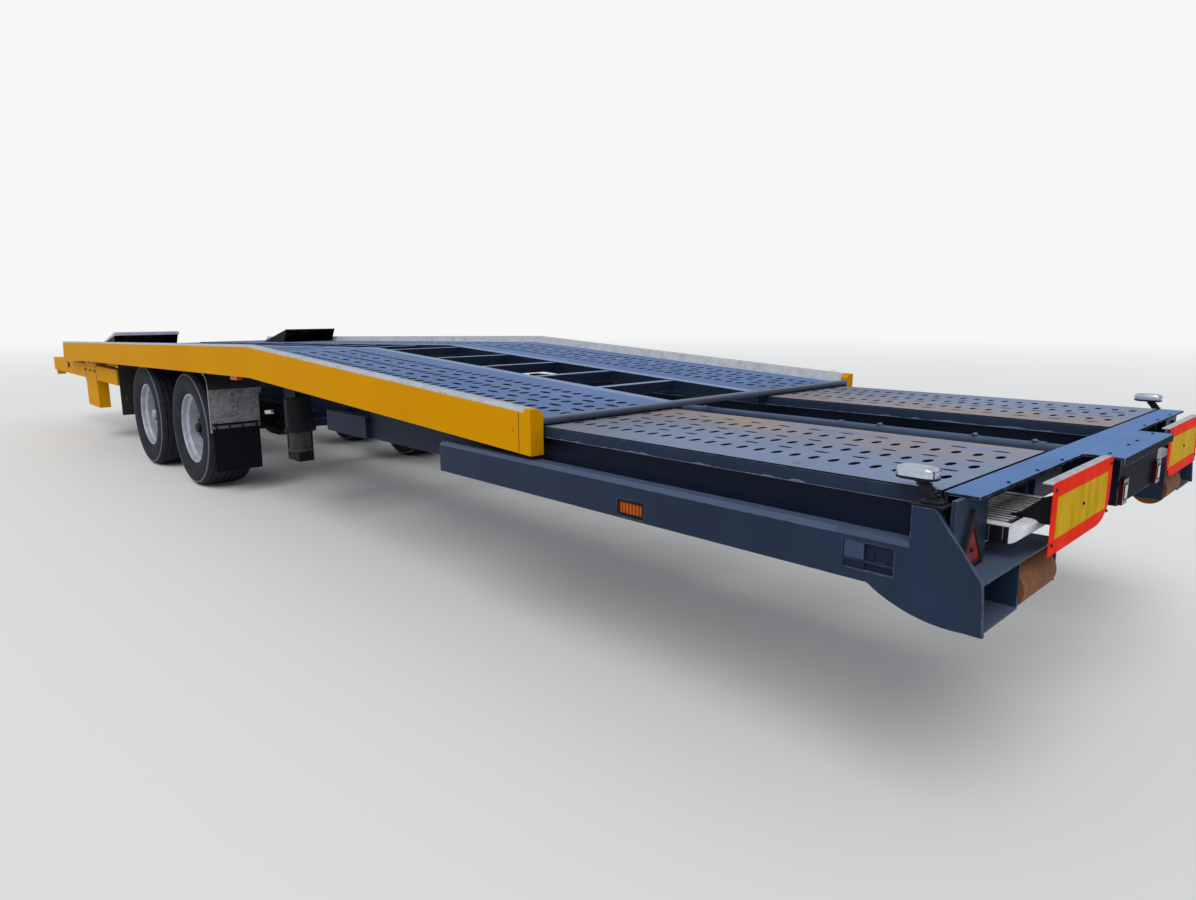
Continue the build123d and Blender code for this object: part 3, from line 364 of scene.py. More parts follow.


# name, paint, faded paint, painted top highlight, amounts of top highlight, dust and rust, bare edge, wear,
# gloss, what differs
paint_table = [
    ("slate_paint", (28, 40, 61), (35, 48, 71), (84, 98, 122), 0.8, 0.12, 0.03, (96, 112, 136), 0.6, 0.45,
     {}),
    ("gusset_paint", (28, 41, 62), (36, 50, 73), (84, 98, 122), 0.8, 0.12, 0.03, (110, 126, 150), 0.8, 0.45,
     {"extra": painted_fold_highlight}),
    ("lip_paint", (28, 41, 62), (36, 50, 73), (92, 106, 130), 0.8, 0.1, 0.05, (126, 138, 156), 0.6, 0.45,
     {"extra": chipped_lower_edge}),
    # shade_paint is slate darkened as painted shade, for parts that stand in shade.
    ("shade_paint", (18, 28, 47), (25, 36, 58), (58, 68, 86), 0.6, 0.15, 0.1, (80, 88, 102), 0.4, 0.5,
     {"rust_scale": 14.0}),
    # beam_paint's sides are dark as painted shade inside the deck's beams, and its tops get a strong painted
    # highlight.
    ("beam_paint", (18, 28, 46), (25, 36, 56), (124, 148, 188), 1.0, 0.1, 0.05, (150, 164, 186), 0.7, 0.42,
     {}),
    ("tube_paint", (68, 78, 98), (80, 88, 106), (122, 132, 152), 0.9, 0.2, 0.25, (150, 156, 168), 0.8, 0.5,
     {"rust_scale": 12.0}),
    ("pipe_paint", (52, 65, 90), (60, 73, 100), (82, 96, 122), 0.7, 0.15, 0.05, (120, 132, 152), 0.6, 0.42,
     {}),
    ("tail_top_paint", (20, 24, 34), (26, 31, 42), (98, 132, 184), 1.0, 0.06, 0.06, (150, 166, 192), 0.8, 0.5,
     {"streaks": 0.2, "index": 1.12}),
    ("yellow_paint", (206, 144, 2), (200, 136, 2), (206, 150, 20), 0.5, 0.06, 0.0, (140, 104, 30), 0.35, 0.45,
     {"cover": 0.01, "streaks": 0.08, "shine": 0.1, "dust_tone": (140, 110, 60), "index": 1.12}),
    ("black_paint", (12, 14, 19), (20, 22, 28), (40, 44, 52), 0.6, 0.25, 0.1, (62, 62, 66), 0.5, 0.5,
     {"cover": 0.08, "dust_tone": (78, 76, 74)}),
]
for *recipe, differing in paint_table:
    painted_steel(*recipe, **differing)
print("painted steel finishes:", len(paint_table))

# %% [markdown]
# ## The walls of punched holes
# A punched slot looks black because its walls are raw and in shadow. One group paints shade on every
# face that stands upright, so the sheets' own wall faces read as depth.

# %% Dark hole walls
walls, given, result = start_group("hole_walls", ("Color", "Mask"), Color=GREY, Dark=tone(14, 16, 20))
upward = math_node(walls, "ABSOLUTE", split(walls, face_normal(walls))["Z"])
lay_over(walls, given, result, remap(walls, upward, 0.7, 0.4), given["Dark"])


def driven_plate(tree, shader, colour, rust_amount, rust_scale, bare, rough, shine, grain_scale, **dark):
    """Deck plate that wheels run on: rust, worn edges and painted shade on the slot walls over a colour."""
    rusty = place_group(tree, rust, Color=colour, Amount=rust_amount, Scale=rust_scale)
    worn = place_group(tree, edges, Color=rusty["Color"], Bare=bare, Width=0.004, Amount=0.5)
    holed = place_group(tree, walls, Color=worn["Color"], **dark)["Color"]
    height = math_node(tree, "ADD", fine(tree, grain_scale), rusty["Height"])
    surface(tree, shader, holed, rough, height, (0.3, 0.002), Specular_IOR_Level=shine)


print("hole_walls has", len(walls.nodes), "nodes")

# %% Upper deck plate
tree, shader = start_material("deck_paint")
colour = mix_colours(tree, cloud(tree, 0.9, 0.32, 0.68), (62, 92, 146), (82, 116, 170))
tracks = cloud(tree, 2.2, 0.4, 0.7, (0.35, 3.0, 1.0))
colour = mix_colours(tree, times(tree, tracks, 0.45), colour, (120, 138, 170))
driven_plate(tree, shader, colour, 0.1, 18.0, (160, 170, 188), (tracks, 0.42, 0.75), 0.2, 130.0)
print("deck_paint has", len(tree.nodes), "nodes")

# %% [markdown]
# ## The other finishes
# The low deck is walked and driven on, so tan dirt lies over it and rust creeps out of its
# inner edges, and towards the front it is painted darker as shade. Galvanised parts show grey
# crystal cells. The rollers have rusted through their paint. Rubber is dull and dusty, and lenses
# and reflectors are glossy with fine ribs.

# %% Dirty low deck with painted shade
shade_start, shade_end = tail_edge + 0.6, tail_edge + 2.6
trodden_start, trodden_end = tail_edge + 1.15, tail_edge + 1.7
clean_y, rusty_y = 0.86, 0.48
tree, shader = start_material("low_deck_paint")
spot = split(tree, object_place(tree))
# From shade_start forward the deck turns darker and bluer, as painted shade.
forward = remap(tree, spot["X"], shade_start, shade_end)
fade = cloud(tree, 1.1, 0.35, 0.65)
colour = mix_colours(tree, fade, (112, 131, 165), (132, 149, 182))
colour = mix_colours(tree, forward, colour, mix_colours(tree, fade, (70, 86, 116), (88, 104, 134)))
dirt = cloud(tree, 1.7, 0.38, 0.62, (0.7, 1.8, 1.0))
colour = mix_colours(tree, times(tree, dirt, 0.5), colour, (138, 145, 160))
inner = remap(tree, math_node(tree, "ABSOLUTE", spot["Y"]), clean_y, rusty_y)
ochre = times(tree, inner, cloud(tree, 5.0, 0.3, 0.62, (0.4, 1.0, 1.0)), 0.75)
colour = mix_colours(tree, ochre, colour, (170, 142, 104))
trodden = times(tree, remap(tree, spot["X"], trodden_start, trodden_end), 0.6)
colour = mix_colours(tree, trodden, colour, (126, 122, 126))
driven_plate(
    tree, shader, colour, 0.22, 11.0, (158, 164, 174), (dirt, 0.55, 0.9), 0.15, 120.0,
    # The slot walls get painted shade, turning rust-brown where the ochre is.
    Dark=mix_colours(tree, ochre, (12, 15, 20), (64, 44, 34)),
)
print("low_deck_paint has", len(tree.nodes), "nodes")

# %% Galvanised steel and alloy
def zinc(name, light, dark, rough, cell, metal, painted=None):
    tree, shader = start_material(name)
    cells = add_node(tree, "ShaderNodeTexVoronoi", Vector=object_place(tree), Scale=cell)
    shade = split(tree, cells.outputs["Color"])["X"]
    colour = mix_colours(tree, times(tree, shade, cloud(tree, 9.0, 0.3, 0.7)), light, dark)
    if painted:
        colour = painted(tree, colour)
    worn = place_group(tree, edges, Color=colour, Bare=light, Width=0.005, Amount=0.5)
    dusty = place_group(tree, dust, Color=worn["Color"], Dust=(140, 136, 128), Amount=0.35, Everywhere=0.2)
    plug(tree, shader["Metallic"], remap(tree, dusty["Mask"], 0.0, 1.0, metal, 0.0))
    surface(tree, shader, dusty["Color"], (shade, rough, rough + 0.2), fine(tree, 90.0), (0.2, 0.001))


def guard_shade_and_black(tree, colour):
    """Only a mudguard's rear skirt is bare: its top is painted dark as shade under the deck, and its front
    part and its inside are black.
    """
    skirt_front, skirt_top = tail_edge + 5.97, 0.86
    spot = split(tree, object_place(tree))
    inside = above(tree, split(tree, face_normal(tree))["X"], 0.3)
    in_front, on_top = above(tree, spot["X"], skirt_front), above(tree, spot["Z"], skirt_top)
    # The top band stands for the shade under the deck; the front part and the inside are dark as well.
    hidden = math_node(tree, "MAXIMUM", math_node(tree, "MAXIMUM", in_front, on_top), inside)
    return mix_colours(tree, hidden, colour, (14, 16, 21))


def valley_dirt_and_flank_shade(tree, colour):
    """Dirt and painted shade darken the valleys between the ridges of a ramp's planks, and painted shade
    darkens the ridges' flanks.
    """
    ridge_foot, valley_floor = 0.9044, 0.903
    where = object_place(tree)
    low = remap(tree, split(tree, where)["Z"], ridge_foot, valley_floor)
    sideways = math_node(tree, "ABSOLUTE", split(tree, face_normal(tree))["Y"])
    drawn = vector_math(tree, "MULTIPLY", where, (5.0, 90.0, 90.0))[0]
    noise = add_node(tree, "ShaderNodeTexNoise", drawn, Scale=1.0, Detail=3.0).outputs["Fac"]
    colour = mix_colours(tree, times(tree, remap(tree, noise, 0.4, 0.65), 0.5), colour, (112, 110, 110))
    # Valleys get dirt and painted shade, and the upright flanks get painted shade.
    dirt_and_shade = math_node(tree, "MAXIMUM", low, above(tree, sideways, 0.5))
    return mix_colours(tree, dirt_and_shade, colour, (58, 57, 58))


# name, light and dark crystals, roughness, cells a metre, metal, and what is painted on it
zinc_table = [
    ("kerb_zinc", (186, 190, 197), (150, 154, 162), 0.5, 34.0, 0.15, None),
    ("guard_zinc", (104, 107, 112), (40, 42, 46), 0.55, 38.0, 0.15, None),
    ("column_zinc", (136, 136, 136), (92, 90, 88), 0.42, 45.0, 0.5, None),
    ("mudguard_zinc", (134, 136, 140), (32, 34, 38), 0.55, 46.0, 0.1, guard_shade_and_black),
    # plank_alloy and nose_alloy are paler than the alloy, as painted light on the ramp's shaded top.
    ("plank_alloy", (232, 231, 236), (196, 194, 196), 0.6, 90.0, 0.05, valley_dirt_and_flank_shade),
    ("nose_alloy", (238, 241, 247), (202, 206, 214), 0.5, 24.0, 0.05, None),
    ("ramp_alloy", (152, 150, 148), (104, 100, 96), 0.55, 30.0, 0.2, None),
    ("rim_silver", (178, 182, 195), (134, 138, 152), 0.36, 14.0, 0.3, None),
    ("foot_steel", (40, 35, 32), (22, 20, 20), 0.5, 20.0, 0.1, None),
    ("lamp_silver", (206, 212, 224), (150, 160, 178), 0.22, 70.0, 0.75, None),
]
for recipe in zinc_table:
    zinc(*recipe)
print("zinc and alloy finishes:", len(zinc_table))

# %% Rusted rollers
tree, shader = start_material("roller_rust")
rings, crust = cloud(tree, 9.0, 0.3, 0.7, (1.0, 9.0, 1.0)), cloud(tree, 60.0, 0.3, 0.7)
colour = mix_colours(tree, rings, (96, 52, 22), (150, 92, 38))
colour = mix_colours(tree, times(tree, crust, 0.5), colour, (86, 50, 30))
surface(tree, shader, colour, (crust, 0.7, 0.95), math_node(tree, "ADD", crust, rings), (0.5, 0.002))
print("roller_rust has", len(tree.nodes), "nodes")

# %% Rubber
def rubber(name, dark, film, amount, rough):
    tree, shader = start_material(name)
    scuff = add_node(tree, "ShaderNodeAttribute", settings={"attribute_name": "scuff"}).outputs["Fac"]
    splashed = math_node(tree, "ADD", cloud(tree, 5.0, 0.3, 0.75), cloud(tree, 30.0, 0.35, 0.7))
    cover = times(tree, splashed, amount, clamp=True)
    base = mix_colours(tree, cover, dark, film)
    worn = place_group(tree, edges, Color=base, Bare=film, Width=0.004, Amount=0.7)["Color"]
    colour = mix_colours(tree, scuff, worn, (128, 130, 134))
    surface(
        tree, shader, colour, (cover, rough, 0.92), fine(tree, 240.0), (0.2, 0.001), Specular_IOR_Level=0.12,
    )


# name, rubber, film of dust, how much of it, roughness
rubber_table = [
    ("tyre_rubber", (22, 25, 32), (66, 69, 78), 0.3, 0.7),
    ("flap_rubber", (4, 7, 14), (34, 37, 44), 0.1, 0.6),
    ("bellows_rubber", (16, 17, 20), (58, 56, 54), 0.25, 0.6),
]
for recipe in rubber_table:
    rubber(*recipe)
print("rubber finishes:", len(rubber_table))

# %% Lenses and reflectors
def lens_material(name, colour, deep, rib_scale):
    tree, shader = start_material(name)
    ribs = add_node(
        tree, "ShaderNodeTexWave", Vector=object_place(tree), Scale=rib_scale,
        settings={"bands_direction": "Z"},
    ).outputs["Fac"]
    grime = cloud(tree, 24.0, 0.45, 0.8)
    tint = mix_colours(tree, times(tree, grime, 0.2), mix_colours(tree, ribs, colour, deep), (70, 56, 48))
    surface(tree, shader, tint, (grime, 0.14, 0.4), ribs, (0.3, 0.001), Specular_IOR_Level=0.2)


# name, colour, colour in the ribs, ribs a metre
lens_table = [
    ("amber_lens", (208, 98, 2), (124, 44, 2), 110.0),
    ("red_lens", (150, 6, 12), (92, 3, 8), 110.0),
    ("dark_red_lens", (70, 4, 12), (34, 3, 8), 60.0),
    ("clear_lens", (210, 216, 226), (168, 176, 190), 40.0),
]
for recipe in lens_table:
    lens_material(*recipe)
print("lens finishes:", len(lens_table))

# %% [markdown]
# ## The marker boards
# Each ramp carries a plate with a red border round a yellow field, made of reflective sheet.
# The border is a fixed width from the board's edges, so the material measures how far a point
# is from the board's middle, with the same values for both boards because it uses |y|. A
# faint honeycomb is the sheet's own texture, and grey stains hang down from the top.

# %% Marker board sheet
board_low, board_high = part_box("marker_board_left")
board_middle = (board_low + board_high) / 2
board_border = 0.042
half_long = (board_high.y - board_low.y) / 2 - board_border
half_tall = (board_high.z - board_low.z) / 2 - board_border
tree, shader = start_material("marker_sheet")
where = object_place(tree)
spot = split(tree, where)
outward = math_node(tree, "SUBTRACT", math_node(tree, "ABSOLUTE", spot["Y"]), board_middle.y)
sideways = math_node(tree, "ABSOLUTE", outward)
upright = math_node(tree, "ABSOLUTE", math_node(tree, "SUBTRACT", spot["Z"], board_middle.z))
field = times(tree, below(tree, sideways, half_long), below(tree, upright, half_tall))
comb = add_node(tree, "ShaderNodeTexVoronoi", Vector=where, Scale=130.0).outputs["Distance"]
stain = cloud(tree, 3.0, 0.42, 0.75, (1.0, 12.0, 2.0))
yellow_field = mix_colours(tree, times(tree, stain, 0.6), (206, 164, 0), (136, 116, 0))
red_border = mix_colours(tree, times(tree, stain, 0.3), (236, 26, 4), (176, 24, 8))
colour = mix_colours(tree, field, red_border, yellow_field)
colour = mix_colours(tree, times(tree, comb, 0.04), colour, (250, 180, 30))
surface(tree, shader, colour, (stain, 0.4, 0.6), comb, (0.15, 0.0005), Specular_IOR_Level=0.1, IOR=1.12)
print("yellow field is", round(half_long * 2, 3), "by", round(half_tall * 2, 3), "m")

# %% [markdown]
# ## Dress the CAD nodes
# Most CAD forms stay as they are, and only need their real finish. The table gives each node
# its material.

# %% Materials for the nodes that stay
finishes = {
    "slate_paint": ("drawbar", "tail_boxes", "main_rails"),
    "tube_paint": ("deck_rear_tube",),
    "gusset_paint": ("tail_sills", "tail_gussets"),
    "shade_paint": (
        "pocket_boxes", "chassis_cross_members", "rail_brackets", "tail_side_beams", "tail_runners",
        "tail_members",
    ),
    "beam_paint": ("deck_beams", "deck_cross_beams"),
    "pipe_paint": ("centre_pipe",),
    "tail_top_paint": ("tail_crossbar", "centre_plate"),
    "yellow_paint": ("deck_fascias", "column_housings_front", "front_cross_beam", "front_frame"),
    # The rear column housings are black, dark enough to stand for the shade round them.
    "black_paint": (
        "towing_eye", "jack_tube", "axle_beams", "brake_chambers", "trailing_arms", "air_tanks",
        "support_legs", "corner_lamp_feet", "wheel_plates", "column_housings_rear",
    ),
    "kerb_zinc": ("kerb_rails",),
    "mudguard_zinc": ("mudguards",),
    "guard_zinc": ("jack_foot",),
    "foot_steel": ("support_feet",),
    "column_zinc": ("column_inner_stages", "column_middle_stages"),
    "ramp_alloy": ("loading_ramp_left", "loading_ramp_right"),
    "roller_rust": ("tail_rollers",),
    "flap_rubber": ("mud_flaps",),
    "bellows_rubber": ("air_springs",),
    "amber_lens": ("sill_markers", "deck_markers"),
    "red_lens": ("tail_reflectors",),
    "dark_red_lens": ("tail_lamps",),
    "clear_lens": ("corner_lamps",),
}
for look, names in finishes.items():
    for name in names:
        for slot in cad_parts[name].material_slots:
            slot.material = looks[look]
print("finished", sum(len(names) for names in finishes.values()), "nodes")

# %% [markdown]
# ## Making pieces
# A piece is drawn in a bmesh, turned into a mesh, and told which CAD body it rides on. Its
# place is in its vertices, as for the CAD nodes. Blocks, turned shapes and cut-out plates are
# enough for most fittings. The look decides a piece's material.


def finish_piece(obj, look, body, *stands_for):
    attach(obj, body)
    if stands_for:
        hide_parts(*stands_for)
    return obj


def soften(mesh, degrees):
    mesh.shade_smooth()
    mesh.set_sharp_from_angle(angle=math.radians(degrees))


def make_piece(form, name, look, body, *stands_for, smooth=35.0):
    bmesh.ops.remove_doubles(form, verts=form.verts, dist=1e-6)
    bmesh.ops.recalc_face_normals(form, faces=form.faces)
    mesh = bpy.data.meshes.new(name)
    form.to_mesh(mesh)
    form.free()
    mesh.materials.append(looks[look])
    soften(mesh, smooth)
    return finish_piece(add_object(name, mesh), look, body, *stands_for)


def block(form, low, high, bevel=0.001):
    """A box between two corners, with its edges rounded by bevel."""
    new = bmesh.ops.create_cube(form, size=1.0)["verts"]
    for vert in new:
        for axis in range(3):
            vert.co[axis] = low[axis] if vert.co[axis] < 0 else high[axis]
    border = list(dict.fromkeys(edge for vert in new for edge in vert.link_edges))
    bmesh.ops.bevel(form, geom=border, offset=bevel, segments=2, profile=0.6, affect="EDGES")


def slab(form, side, x, y, z, bevel=0.001):
    """A block from its ranges of x, y and z, with y given for the left side."""
    near, far = sorted((side * y[0], side * y[1]))
    block(form, (x[0], near, z[0]), (x[1], far, z[1]), bevel)


AXES = {"x": (Vector((1, 0, 0)), Vector((0, 1, 0)), Vector((0, 0, 1))),
        "y": (Vector((0, 1, 0)), Vector((0, 0, 1)), Vector((1, 0, 0)))}


def turned(form, profile, centre, axes, segments, closed=False):
    """Turns (along, radius) points round an axis. A closed profile joins its ends, as a tyre's does."""
    along, across, over = axes
    rings = []
    for step in range(segments):
        angle = 2 * math.pi * step / segments
        out = across * math.cos(angle) + over * math.sin(angle)
        rings.append([form.verts.new(centre + along * a + out * r) for a, r in profile])
    count = len(profile)
    for step in range(segments):
        here, there = rings[step], rings[(step + 1) % segments]
        for k in range(count if closed else count - 1):
            m = (k + 1) % count
            corners = [here[k], here[m], there[m], there[k]]
            if profile[k][1] < 1e-9:
                corners = [here[k], here[m], there[m]]
            elif profile[m][1] < 1e-9:
                corners = [here[k], here[m], there[k]]
            form.faces.new(corners)


def cut_plate(form, outline, axis, start, end):
    """An outline, given in the plane across the axis, as a plate from start to end along it."""
    along, across, over = AXES[axis]
    bottom = [form.verts.new(along * start + across * a + over * b) for a, b in outline]
    top = [form.verts.new(along * end + across * a + over * b) for a, b in outline]
    form.faces.new(bottom)
    form.faces.new(top)
    for k in range(len(outline)):
        m = (k + 1) % len(outline)
        form.faces.new([bottom[k], bottom[m], top[m], top[k]])


def at_station(metres):
    """A distance from the tail edge, forward, as the model's x."""
    return tail_edge + metres


def stations(*metres):
    return tuple(at_station(one) for one in metres)


def side_outline(points):
    """Points of (height, station) as an outline across y."""
    return [(height, at_station(station)) for height, station in points]


def place_fittings(side, side_name, table):
    """Rows of piece, look, body, bevel, and blocks as ranges of station, y and z, on one side."""
    for name, look, body, bevel, blocks in table:
        form = bmesh.new()
        for x, y, z in blocks:
            slab(form, side, stations(*x), y, z, bevel)
        make_piece(form, name + "_" + side_name, look, body)


# %% [markdown]
# ## Growing with Geometry Nodes
# A repeated shape is described once as a tree with named inputs, and grown from a small base
# mesh. The tree's result is read back as a plain mesh, one for each body, and the modifier
# goes, so nothing in the finished scene still depends on the tree.

# %% Grow a piece
def start_growth(name, **inputs):
    return start_group(name, ("Geometry",), "GeometryNodeTree", Geometry=None, **inputs, Material=None)


def made(tree, kind, *in_order, settings=None, **by_name):
    """The first output of a new geometry node."""
    return add_node(tree, "GeometryNode" + kind, *in_order, settings=settings, **by_name).outputs[0]


def vector(tree, **parts):
    return add_node(tree, "ShaderNodeCombineXYZ", **parts).outputs[0]


def circle(tree, points, radius):
    return made(tree, "CurvePrimitiveCircle", Resolution=points, Radius=radius)


def joined(tree, *parts):
    node = tree.nodes.new("GeometryNodeJoinGeometry")
    for part in parts:
        tree.links.new(part, node.inputs[0])
    return node.outputs[0]


def thick_plate(tree, curves, thickness):
    """Fills flat curves, and thickens the sheet to a closed plate."""
    sheet = made(tree, "FillCurve", curves)
    top = made(tree, "ExtrudeMesh", Mesh=sheet, Offset_Scale=thickness, Individual=False)
    under = made(tree, "FlipFaces", sheet)
    return made(tree, "MergeByDistance", Geometry=joined(tree, top, under), Distance=0.0001)


def end_growth(tree, given, result, geometry):
    real = made(tree, "RealizeInstances", geometry)
    plug(tree, result["Geometry"], made(tree, "SetMaterial", Geometry=real, Material=given["Material"]))


def base_mesh(name, points, lines=(), numbers=None, facing=None):
    mesh = bpy.data.meshes.new(name)
    mesh.from_pydata(points, lines, [])
    for label, values in (numbers or {}).items():
        mesh.attributes.new(label, "FLOAT", "POINT").data.foreach_set("value", values)
    if facing:
        flat = [part for way in facing for part in way]
        mesh.attributes.new("facing", "FLOAT_VECTOR", "POINT").data.foreach_set("vector", flat)
    return mesh


def grow(tree, base, name, look, smooth=None, **inputs):
    seed = add_object(name + "_base", base)
    modifier = seed.modifiers.new("growth", "NODES")
    modifier.node_group = tree
    inputs["Material"] = looks[look]
    for item in tree.interface.items_tree:
        key = item.name.replace(" ", "_")
        if item.in_out == "INPUT" and key in inputs:
            modifier[item.identifier] = inputs[key]
    grown = seed.evaluated_get(bpy.context.evaluated_depsgraph_get())
    mesh = bpy.data.meshes.new_from_object(grown)
    bpy.data.objects.remove(seed)
    mesh.name = name
    if smooth:
        soften(mesh, smooth)
    return add_object(name, mesh)


def grow_piece(tree, base, name, look, body, *stands_for, **inputs):
    return finish_piece(grow(tree, base, name, look, **inputs), look, body, *stands_for)


print("growth helpers ready")

# %% [markdown]
# ## Perforated decks
# The tracks are steel plate punched with slanted, leaf-shaped slots that give the tyres grip.
# Boolean cuts would be slow for a thousand slots. The tree draws the plate's outline and one
# slot curve on each point, fills the plane between them, gives the fill a thickness, and then
# lifts it to the deck's slope.

# %% The perforated plate tree
punched, given, result = start_growth(
    "perforated_plate", Rear=0.0, Front=1.0, Inner=0.4, Outer=1.2, Rear_level=1.0, Front_level=1.0,
    Thickness=0.006,
)
slant, long_way, wide_way = (
    made(punched, "InputNamedAttribute", Name=label) for label in ("slant", "long", "wide")
)
slots = made(
    punched, "InstanceOnPoints", Points=given["Geometry"], Instance=circle(punched, 8, 0.5),
    Rotation=vector(punched, Z=slant), Scale=vector(punched, X=long_way, Y=wide_way, Z=1.0),
)
slots = made(punched, "RealizeInstances", slots)
length = math_node(punched, "SUBTRACT", given["Front"], given["Rear"])
width = math_node(punched, "SUBTRACT", given["Outer"], given["Inner"])
middle = vector(
    punched, X=times(punched, math_node(punched, "ADD", given["Front"], given["Rear"]), 0.5),
    Y=times(punched, math_node(punched, "ADD", given["Outer"], given["Inner"]), 0.5),
)
outline = made(punched, "CurvePrimitiveQuadrilateral", Width=length, Height=width)
outline = made(punched, "Transform", Geometry=outline, Translation=middle)
plate = thick_plate(punched, joined(punched, slots, outline), given["Thickness"])
along_x = split(punched, made(punched, "InputPosition"))["X"]
rise = remap(punched, along_x, given["Rear"], given["Front"], given["Rear level"], given["Front level"])
sloped = made(punched, "SetPosition", Geometry=plate, Offset=vector(punched, Z=rise))
end_growth(punched, given, result, sloped)
print("perforated_plate has", len(punched.nodes), "nodes")

# %% [markdown]
# ## Where the slots are
# Both decks have the same pattern. Rows of slots across the track alternate with rows of slots
# along it, which have twice the spacing and lie between two of the others. It is coarser on
# the upper deck. The rows and spacings are measured on the photograph's decks.

# %% Slot positions
def slot_points(rear, front, side, rows):
    """Points and their numbers. Rows are (y, first, pitch, slant in degrees, length, width)."""
    points, slants, longs, wides = [], [], [], []
    for y, first, pitch, lean, long_size, wide_size in rows:
        for k in range(int((front - rear - first - long_size) / pitch) + 1):
            points.append((rear + first + k * pitch, side * y, 0.0))
            slants.append(math.radians(lean))
            longs.append(long_size)
            wides.append(wide_size)
    return points, {"slant": slants, "long": longs, "wide": wides}


def slot_pattern(across_rows, along_rows, first, pitch, across_size, along_size):
    rows = [(y, first, pitch, 90, *across_size) for y in across_rows]
    return rows + [(y, first + pitch / 2, 2 * pitch, 0, *along_size) for y in along_rows]


upper_rows = slot_pattern((0.995, 0.785, 0.575), (0.89, 0.68), 0.07, 0.079, (0.068, 0.042), (0.084, 0.04))
lower_rows = slot_pattern(
    (1.025, 0.825, 0.612), (0.922, 0.73, 0.505), 0.06, 0.0686, (0.064, 0.028), (0.06, 0.022),
)
print(len(upper_rows), "rows of slots on a slope track,", len(lower_rows), "on a low track")

# %% Grow the tracks
plate_thickness = 0.004
low_rear, low_front, low_inner, low_outer, low_level = 0.1, 3.25, 0.389, 1.195, 1.005
# piece, look, body, node, rows, (station, level) of the rear and front end, inner and outer y
slope_tracks = [
    ("rear_slope_", "deck_paint", "upper_deck", "rear_slope_tracks", upper_rows,
     (1.716, 1.02695), (4.68, 1.197), 0.38, 1.209),
    ("front_slope_", "deck_paint", "upper_deck", "front_slope_tracks", upper_rows,
     (4.68, 1.197), (10.87, 1.063), 0.38, 1.209),
]
low_tracks = [
    ("low_plate_", "low_deck_paint", "tail", "lower_tracks", lower_rows,
     (low_rear, low_level), (low_front, low_level), low_inner, low_outer),
]


def grow_tracks(side, side_name, table):
    for piece, look, body, node, rows, rear_end, front_end, inner, outer in table:
        rear, front = stations(rear_end[0], front_end[0])
        near, far = sorted((side * inner, side * outer))
        points, numbers = slot_points(rear, front, side, rows)
        track = grow_piece(
            punched, base_mesh(node, points, numbers=numbers), piece + side_name, look, body, node,
            Rear=rear, Front=front, Inner=near, Outer=far, Rear_level=rear_end[1] - plate_thickness,
            Front_level=front_end[1] - plate_thickness, Thickness=plate_thickness,
        )
        print(piece + side_name, len(track.data.polygons), "faces")


for side, side_name in SIDES:
    grow_tracks(side, side_name, slope_tracks)
for side, side_name in SIDES:
    grow_tracks(side, side_name, low_tracks)
    form = bmesh.new()
    for y in (low_inner, low_outer - plate_thickness):
        slab(form, side, stations(low_rear, low_front), (y, y + plate_thickness), (0.959, 1.0009), 0.002)
    make_piece(form, "low_lips_" + side_name, "lip_paint", "tail")

# %% [markdown]
# ## Tyres
# A trailer tyre is a ring with a flat, grooved tread, a rounded shoulder and bulging walls. It
# is turned from one closed profile, given from the inner bead to the outer one, and then small
# notches are pressed into both shoulders. A thin raised rib near the tread rubs on kerbs, so
# an attribute marks it and the rubber is paler there.

# %% Turn the tyres
wheel_middle_y, axle_height = 0.997, 0.49
rear_axle, front_axle = 6.415, 7.725
# (distance from the tyre's middle, radius), from the middle of the tread to the bead
half_tyre = [
    (0.0, 0.4895), (0.014, 0.4893), (0.018, 0.477), (0.028, 0.477), (0.032, 0.4892), (0.07, 0.489),
    (0.074, 0.477), (0.084, 0.477), (0.088, 0.4885), (0.122, 0.4878), (0.126, 0.476), (0.134, 0.476),
    (0.138, 0.4868), (0.158, 0.484), (0.169, 0.478), (0.177, 0.466), (0.1795, 0.4585), (0.1835, 0.4565),
    (0.1842, 0.4525), (0.181, 0.4505), (0.1862, 0.436), (0.1905, 0.412), (0.1918, 0.388), (0.1895, 0.362),
    (0.184, 0.336), (0.1765, 0.318), (0.1775, 0.314), (0.1745, 0.311), (0.1725, 0.304), (0.166, 0.298),
    (0.154, 0.287),
]
bead = [
    (0.15, 0.2895), (0.163, 0.31), (0.172, 0.34), (0.178, 0.388), (0.17, 0.44), (0.14, 0.462), (0.0, 0.466),
]
tyre_profile = [(-a, r) for a, r in reversed(half_tyre[1:])] + half_tyre
tyre_profile += bead + [(-a, r) for a, r in reversed(bead[:-1])]
tyre_steps = 96
notch_depth = 0.007
rib_inner, rib_outer, rib_from_middle = 0.4515, 0.459, 0.178
scuffed = 0.75


def notch_shoulders(form, centre):
    for vert in form.verts:
        off = vert.co - centre
        radius = math.hypot(off.x, off.z)
        step = round(math.atan2(off.x, off.z) / (2 * math.pi) * tyre_steps)
        on_shoulder = radius > 0.474 and 0.139 < abs(off.y) < 0.18
        if step % 2 == 0 and on_shoulder:
            vert.co.x -= off.x / radius * notch_depth
            vert.co.z -= off.z / radius * notch_depth


